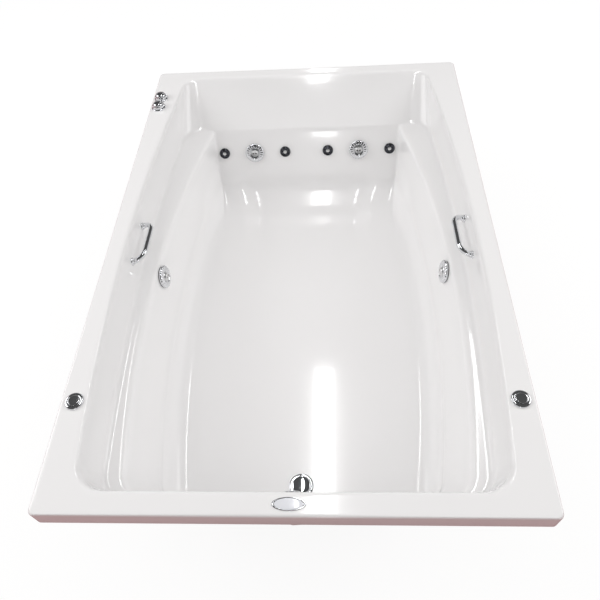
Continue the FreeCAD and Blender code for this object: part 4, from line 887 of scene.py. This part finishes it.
def grip_wall(side):
    """Where the middle of a grip's feet lies on the side wall, facing into the basin."""
    low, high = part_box(f"grip_{side}")
    hand = -1 if side == "left" else 1
    opening, upper = basin_levels(bpy.context.scene.basin_shape)[:2]
    middle = (low.y + high.y) / 2
    away = middle - opening.widest
    lean = (opening.half - upper.half) / upper.depth
    sag = opening.bow - math.sqrt(opening.bow ** 2 - away ** 2)
    reach = opening.half - lean * GRIP_DROP - sag
    outward = Vector((-hand, -away / opening.bow, lean))
    return facing((hand * reach, middle, TOP - GRIP_DROP), outward)


class BATHTUB_OT_grips(bpy.types.Operator):
    """Bend the two grips and seat them on their rosettes."""
    bl_idname = "bathtub.grips"
    bl_label = "Grips"

    def execute(self, context):
        shape = context.scene.fitting_shape
        half = shape.bar_span / 2
        corners = [(-half, 0, BAR_START), (-half, 0, shape.bar_reach), (half, 0, shape.bar_reach),
                   (half, 0, BAR_START)]
        for side in SIDES:
            wall = grip_wall(side)
            leaning = wall @ Matrix.Rotation(-GRIP_TILT, 4, "X")
            bar = bar_along("bar", [leaning @ Vector(corner) for corner in corners],
                            shape.bar_radius, shape.bar_bend, FINISH["chrome"])
            feet = [turned(name, profile, shifted(place, x=end * half), 48)
                    for name, profile, place in (("rosette", ROSETTE, wall), ("collar", COLLAR, leaning))
                    for end in (-1, 1)]
            feet = painted(softened(joined("feet", feet), 0.0006), "chrome")
            finished(smoothed(joined(f"bent_grip_{side}", [bar, feet])), "tub", "chrome", f"grip_{side}")
        return {"FINISHED"}


# ---------------- deck controls and badge

VALVE = millimetres(
    (0, -78), (8, -78), (8, -72), (14, -72), (14, 0), (27, 0), (27, 2.2), (26.2, 3.6), (24, 4.8),
    (22.5, 5), (5.05, 5), (5.05, -15.3), (0, -15.3))
KNOB_SKIRT = millimetres(
    (0, -15), (5, -15), (5, 5.3), (23.6, 5.3, 1.6), (24, 6.6, 2), (24, 12, 2), (22.6, 14.2, 1), (20.4, 15),
    (0, 15))
KNOB_CROWN = millimetres((0, 15), (19.6, 15), (19, 17.6), (17.2, 20.6), (13.5, 23.3), (7, 24.9), (0, 25.3))
BUTTON_RING = millimetres(
    (8.3, -34), (14, -34), (14, 0), (25, 0), (25, 2), (24, 4.2), (21.5, 5.8), (18, 6), (16, 5.4),
    (15.3, 4.6), (15.3, 1.7), (8.3, 1.7))
BUTTON_CAP = millimetres((0, -24), (8, -24), (8, 5), (15, 5), (15, 7), (13.8, 8), (11, 7.8), (0, 7))
# Radii as shares of the badge's half depth.
BADGE_RIM = [(0.84, 0.0), (1, 0.0), (1, 0.0012), (0.96, 0.0024), (0.90, 0.0025), (0.84, 0.0016)]
BADGE_FACE = [(0, 0.0), (0.86, 0.0), (0.86, 0.0014), (0.6, 0.0019), (0, 0.0021)]


class BATHTUB_OT_controls(bpy.types.Operator):
    """Make the air knobs, the push buttons and the bare name plate on the deck."""
    bl_idname = "bathtub.controls"
    bl_label = "Deck controls"

    def execute(self, context):
        flutes = context.scene.fitting_shape.knob_flutes
        valves = []
        for name in AIR_KNOBS:
            place = joint_place(f"air_{name}_turn")
            valves.append(turned("valve", VALVE, place))
            skirt = turned("skirt", KNOB_SKIRT, place, flutes * WAVE_STEPS, flutes)
            crown = turned("crown", KNOB_CROWN, place)
            knob = joined(f"air_knob_{name}", [softened(skirt, 0.0005), softened(crown, 0.0006)])
            finished(knob, f"air_{name}_knob", "chrome", f"air_{name}_knob")
        finished(softened(joined("air_control_valves", valves), 0.0005), "tub", "chrome", "air_valves")
        for side in SIDES:
            place = deck_place(f"button_ring_{side}")
            fitting(f"push_ring_{side}", BUTTON_RING, place, "tub", f"button_ring_{side}")
            fitting(f"push_cap_{side}", BUTTON_CAP, place, f"button_{side}", f"button_cap_{side}")
        self.badge()
        return {"FINISHED"}

    def badge(self):
        """An oval plate: a round one of the badge's depth, stretched to its width."""
        low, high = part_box("name_badge")
        half = (high.y - low.y) / 2
        place = deck_place("name_badge") @ Matrix.Diagonal(((high.x - low.x) / (2 * half), 1, 1, 1))
        rim, face = (turned(name, [(share * half, height) for share, height in profile], place)
                     for name, profile in (("badge_rim", BADGE_RIM), ("badge_face", BADGE_FACE)))
        finished(softened(rim, 0.0002, 2), "tub", "chrome")
        finished(softened(face, 0.0002, 2), "tub", "badge_face", "name_badge")


# ---------------- waste and overflow

DRAIN = millimetres(
    (19, -28), (22, -28), (22, 0), (38, 0), (38, 1.2), (36.8, 2.6), (34.5, 3.4), (32, 3.5), (26.5, 2.8),
    (22.5, 1.8), (19, 1))
# The hub and the arms that guide the stopper's stem: heights, radii, reach and half width.
GUIDE_LEVELS = (-0.02795, -0.01795)
GUIDE_BORE, GUIDE_RADIUS = 0.00405, 0.0070
ARM_REACH = (0.0060, 0.0205)
ARM_HALF = 0.002
STOPPER = millimetres(
    (0, -24), (4, -24), (4, 3.8), (29, 3.8), (30, 4.6), (30, 6.2), (29, 7.8), (26.2, 9.4), (20.5, 10.8),
    (12, 11.5), (0, 11.8))
OVERFLOW_PLATE = millimetres((5.05, 0), (36, 0), (36, 1.6), (35, 3), (33, 3.9), (30, 4), (5.05, 4))
OVERFLOW_KNOB = millimetres(
    (0, -18), (5, -18), (5, 4.3), (27, 4.3, 2.2), (28, 5.6, 2.8), (28, 12, 2.8), (26.2, 15.2, 1.8),
    (22.5, 17.6, 0.6), (16, 18.9), (0, 19.3))


class BATHTUB_OT_waste(bpy.types.Operator):
    """Make the drain's ring and stopper and the overflow's plate and knob."""
    bl_idname = "bathtub.waste"
    bl_label = "Waste and overflow"

    def execute(self, context):
        floor = floor_place()
        ring = turned("ring", DRAIN, floor, 72)
        low, high = GUIDE_LEVELS
        hub = turned("hub", [(GUIDE_BORE, low), (GUIDE_RADIUS, low), (GUIDE_RADIUS, high),
                             (GUIDE_BORE, high)], floor)
        near, far = ARM_REACH
        section = ((near, -ARM_HALF), (far, -ARM_HALF), (far, ARM_HALF), (near, ARM_HALF))
        faces = [(3, 2, 1, 0), (4, 5, 6, 7), (0, 1, 5, 4), (1, 2, 6, 5), (2, 3, 7, 6), (3, 0, 4, 7)]
        arm = mesh_piece("arm", [(x, y, z) for z in (low, high) for x, y in section], faces)
        arms = ring_of("guide_arms", arm, 4, 0.0, floor, FINISH["chrome"])
        arms.data.materials.clear()
        finished(softened(joined("drain_ring", [ring, hub, arms]), 0.0005), "tub", "chrome", "drain_flange")
        fitting("pop_up_stopper", STOPPER, floor, "stopper", "drain_stopper", steps=72)
        wall = joint_place("overflow_turn")
        fitting("overflow_face", OVERFLOW_PLATE, wall, "tub", "overflow_plate", steps=72)
        fitting("overflow_handwheel", OVERFLOW_KNOB, wall, "overflow_knob", "overflow_knob", 0.0005,
                steps=80, count=8)
        return {"FINISHED"}


# ---------------- pump and pipework

BOLT = millimetres((0, -1), (4.5, -1), (4.5, 3.5), (3.6, 4.2), (0, 4.2))
BOLT_INSET = 0.006


class BATHTUB_OT_pump(bpy.types.Operator):
    """Add the bolts that clamp the pump's wet end."""
    bl_idname = "bathtub.pump"
    bl_label = "Pump details"

    def execute(self, context):
        low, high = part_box("seal_plate")
        axis = Vector(JOINTS["rotor_spin"]["pos_m"])
        place = facing((high.x, axis.y, axis.z), (1, 0, 0))
        bolts = ring_of("volute_bolts", turned("bolt", BOLT, Matrix(), 6),
                        context.scene.fitting_shape.volute_bolts, (high.z - low.z) / 2 - BOLT_INSET,
                        place, FINISH["steel"])
        finished(bolts, "tub", "steel")
        return {"FINISHED"}


class BATHTUB_OT_finishes(bpy.types.Operator):
    """Mix the finishes and give each construction piece its own."""
    bl_idname = "bathtub.finishes"
    bl_label = "Finishes"

    def execute(self, context):
        FINISH.update(make_finishes(context.scene.bathtub_finishes))
        slots = {entry["node"]: entry["material_slot"] for entry in frame["record"]["subparts"]}
        for node, thing in frame["nodes"].items():
            thing.data.materials.clear()
            painted(thing, slots[node])
        return {"FINISHED"}


# ---------------- stage

CAMERA_PLACE = Vector((0.1161, -1.3185, 1.8650))
CAMERA_RIGHT = Vector((0.99792, 0.02534, -0.05923))
CAMERA_UP = Vector((0.01584, 0.79460, 0.60693))
SENSOR_WIDTH = 36
SIGHT = 100
SEEN_RAYS = ("Is Camera Ray", "Is Transmission Ray")
# The floor's reach, what the camera sees of it, and the warm tone that it throws back.
FLOOR_REACH = 30.0
FLOOR_PALE = (0.9, 0.9, 0.9, 1)
FLOOR_GLOW = 1.03
FLOOR_GLOW_SHARE = 0.88
FLOOR_BOUNCE = (0.52, 0.295, 0.30, 1)
FLOOR_ROUGHNESS = 0.9
# Large soft lamps that reach the walls inside: (name, place, share of the side power).
SIDE_LAMPS = (("left_lamp", (-3.3, 0.4, 2.4), 1.0), ("right_lamp", (3.3, 0.6, 2.4), 0.85))
LAMP_TARGET = Vector((0, 0, 0.4))
LAMP_SIZE = 2.6
# Light from around: dim under the tops of the walls, then full, and weaker from above.
SKY_STOPS = ((0.36, 0.02), (0.46, 1.0), (1.0, 0.75))
SKY_TINT = (1, 0.985, 0.98)
# What metal reflects of the room: its brightness low down, and the heights between which it fades.
ROOM_LOW = 0.80
ROOM_FADE = (0.10, 0.42)
# Bright strips: two rows of ceiling tubes and a low window in front, as (name, middle, half size).
STRIPS = (
    ("near_tubes", (-0.008, 0.42, 3.0), (0.085, 1.03, 0)),
    ("far_tubes", (-0.008, 4.90, 3.0), (0.13, 0.35, 0)),
    ("front_window", (-0.015, -5.0, 0.90), (0.17, 0, 0.32)),
)


def chosen(tree, rays, first, second):
    """First for the kinds of ray that are named, second for all the others."""
    path = add(tree, "ShaderNodeLightPath").outputs
    seen = add(tree, "ShaderNodeMath", {"operation": "MAXIMUM"}, Value=[path[rays[0]], path[rays[-1]]])
    return add(tree, "ShaderNodeMixShader", Fac=seen.outputs[0], Shader=[second, first]).outputs[0]


def flat_piece(name, middle, half, material):
    """A rectangle of the stage. Half its sides are given as one vector; the first lies along X."""
    along = Vector((half[0], 0, 0))
    up = Vector(half) - along
    piece = mesh_piece(name, [Vector(middle) + side for side in (-along - up, along - up, along + up,
                                                                 up - along)], [(0, 1, 2, 3)])
    piece.data.materials.append(material)
    return piece


class BATHTUB_OT_stage(bpy.types.Operator):
    """Set up the floor, the lamps, the surroundings and the camera."""
    bl_idname = "bathtub.stage"
    bl_label = "Stage"

    def execute(self, context):
        setup = context.scene.stage_setup
        self.floor()
        self.surroundings(context.scene, setup)
        for name, middle, half in STRIPS:
            self.strip(name, middle, half, setup.tube)
        for name, place, share in SIDE_LAMPS:
            self.lamp(name, place, setup.side_power * share)
        self.camera(context.scene, setup.lens)
        context.scene.view_settings.view_transform = "Standard"
        return {"FINISHED"}

    def floor(self):
        """A floor that is white to the camera, keeps a faint shadow and throws back warm light."""
        material, tree = new_material("pale_floor")
        warm = tree.nodes["Principled BSDF"]
        fill(tree, warm, Base_Color=FLOOR_BOUNCE, Roughness=FLOOR_ROUGHNESS)
        pale = add(tree, "ShaderNodeBsdfDiffuse", Color=FLOOR_PALE)
        glow = add(tree, "ShaderNodeEmission", Strength=FLOOR_GLOW)
        bright = add(tree, "ShaderNodeMixShader", Fac=FLOOR_GLOW_SHARE,
                     Shader=[pale.outputs[0], glow.outputs[0]])
        fill(tree, tree.nodes["Material Output"],
             Surface=chosen(tree, SEEN_RAYS, bright.outputs[0], warm.outputs[0]))
        flat_piece("studio_floor", (0, 0, 0), (FLOOR_REACH, FLOOR_REACH, 0), material)

    def surroundings(self, scene, setup):
        """Soft light from above the walls, a dark ceiling for metal, and white for the camera."""
        world = scene.world = bpy.data.worlds.new("soft_room")
        world.use_nodes = True
        tree = world.node_tree
        direction = add(tree, "ShaderNodeTexCoord").outputs["Generated"]
        height = add(tree, "ShaderNodeSeparateXYZ", Vector=direction).outputs["Z"]
        ramp = add(tree, "ShaderNodeValToRGB", Fac=height)
        stops = ramp.color_ramp.elements
        stops.new(SKY_STOPS[1][0])
        for stop, (spot, value) in zip(stops, SKY_STOPS):
            stop.position = spot
            stop.color = (*shaded(SKY_TINT, value), 1)
        sky = tree.nodes["Background"]
        fill(tree, sky, Strength=setup.sky, Color=ramp.outputs["Color"])
        fall = add(tree, "ShaderNodeMapRange", Value=height, From_Min=ROOM_FADE[0], From_Max=ROOM_FADE[1],
                   To_Min=ROOM_LOW, To_Max=setup.ceiling)
        room = add(tree, "ShaderNodeBackground", Strength=fall.outputs["Result"])
        white = add(tree, "ShaderNodeBackground", Color=(1, 1, 1, 1))
        lit = chosen(tree, ("Is Glossy Ray",), room.outputs[0], sky.outputs[0])
        fill(tree, tree.nodes["World Output"], Surface=chosen(tree, SEEN_RAYS, white.outputs[0], lit))

    def strip(self, name, middle, half, brightness):
        """A bright strip that only shows as a reflection."""
        material, tree = new_material(name)
        glow = add(tree, "ShaderNodeEmission", Strength=brightness)
        fill(tree, tree.nodes["Material Output"], Surface=glow.outputs[0])
        strip = flat_piece(name, middle, half, material)
        for rays in ("camera", "diffuse", "shadow", "transmission"):
            setattr(strip, f"visible_{rays}", False)

    def lamp(self, name, place, power):
        data = bpy.data.lights.new(name, "AREA")
        data.shape = "DISK"
        data.size = LAMP_SIZE
        data.energy = power
        lamp = in_scene(name, data)
        lamp.location = place
        lamp.rotation_mode = "QUATERNION"
        lamp.rotation_quaternion = (LAMP_TARGET - Vector(place)).to_track_quat("-Z", "Y")

    def camera(self, scene, lens):
        data = bpy.data.cameras.new("camera")
        data.lens = lens
        data.sensor_width = SENSOR_WIDTH
        data.clip_end = SIGHT
        camera = scene.camera = in_scene("camera", data)
        turn = Matrix((CAMERA_RIGHT, CAMERA_UP, CAMERA_RIGHT.cross(CAMERA_UP))).transposed().to_4x4()
        camera.matrix_world = Matrix.Translation(CAMERA_PLACE) @ turn


# ---------------- the add-on

class BATHTUB_PT_panel(bpy.types.Panel):
    """The pieces of the bathtub, in the sidebar of the 3D view."""
    bl_idname = "BATHTUB_PT_panel"
    bl_label = "Jetted bathtub"
    bl_space_type = "VIEW_3D"
    bl_region_type = "UI"
    bl_category = "Bathtub"

    def draw(self, context):
        for operator in OPERATORS:
            self.layout.operator(operator.bl_idname)
        for group in GROUP_NAMES:
            settings = getattr(context.scene, group)
            for name in settings.__annotations__:
                self.layout.prop(settings, name)


OPERATORS = (BATHTUB_OT_finishes, BATHTUB_OT_shell, BATHTUB_OT_jets, BATHTUB_OT_small_jets,
             BATHTUB_OT_grips, BATHTUB_OT_controls, BATHTUB_OT_waste, BATHTUB_OT_pump, BATHTUB_OT_stage)
GROUP_NAMES = {"basin_shape": BasinShape, "fitting_shape": FittingShape, "bathtub_finishes": Finishes,
               "stage_setup": StageSetup}


def register():
    for item in (*GROUP_NAMES.values(), *OPERATORS, BATHTUB_PT_panel):
        bpy.utils.register_class(item)
    for name, group in GROUP_NAMES.items():
        setattr(bpy.types.Scene, name, PointerProperty(type=group))


def unregister():
    for name in GROUP_NAMES:
        delattr(bpy.types.Scene, name)
    for item in reversed((*GROUP_NAMES.values(), *OPERATORS, BATHTUB_PT_panel)):
        bpy.utils.unregister_class(item)


def main():
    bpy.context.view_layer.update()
    register()
    for operator in OPERATORS:
        category, name = operator.bl_idname.split(".")
        getattr(getattr(bpy.ops, category), name)()


if __name__ == "__main__":
    main()
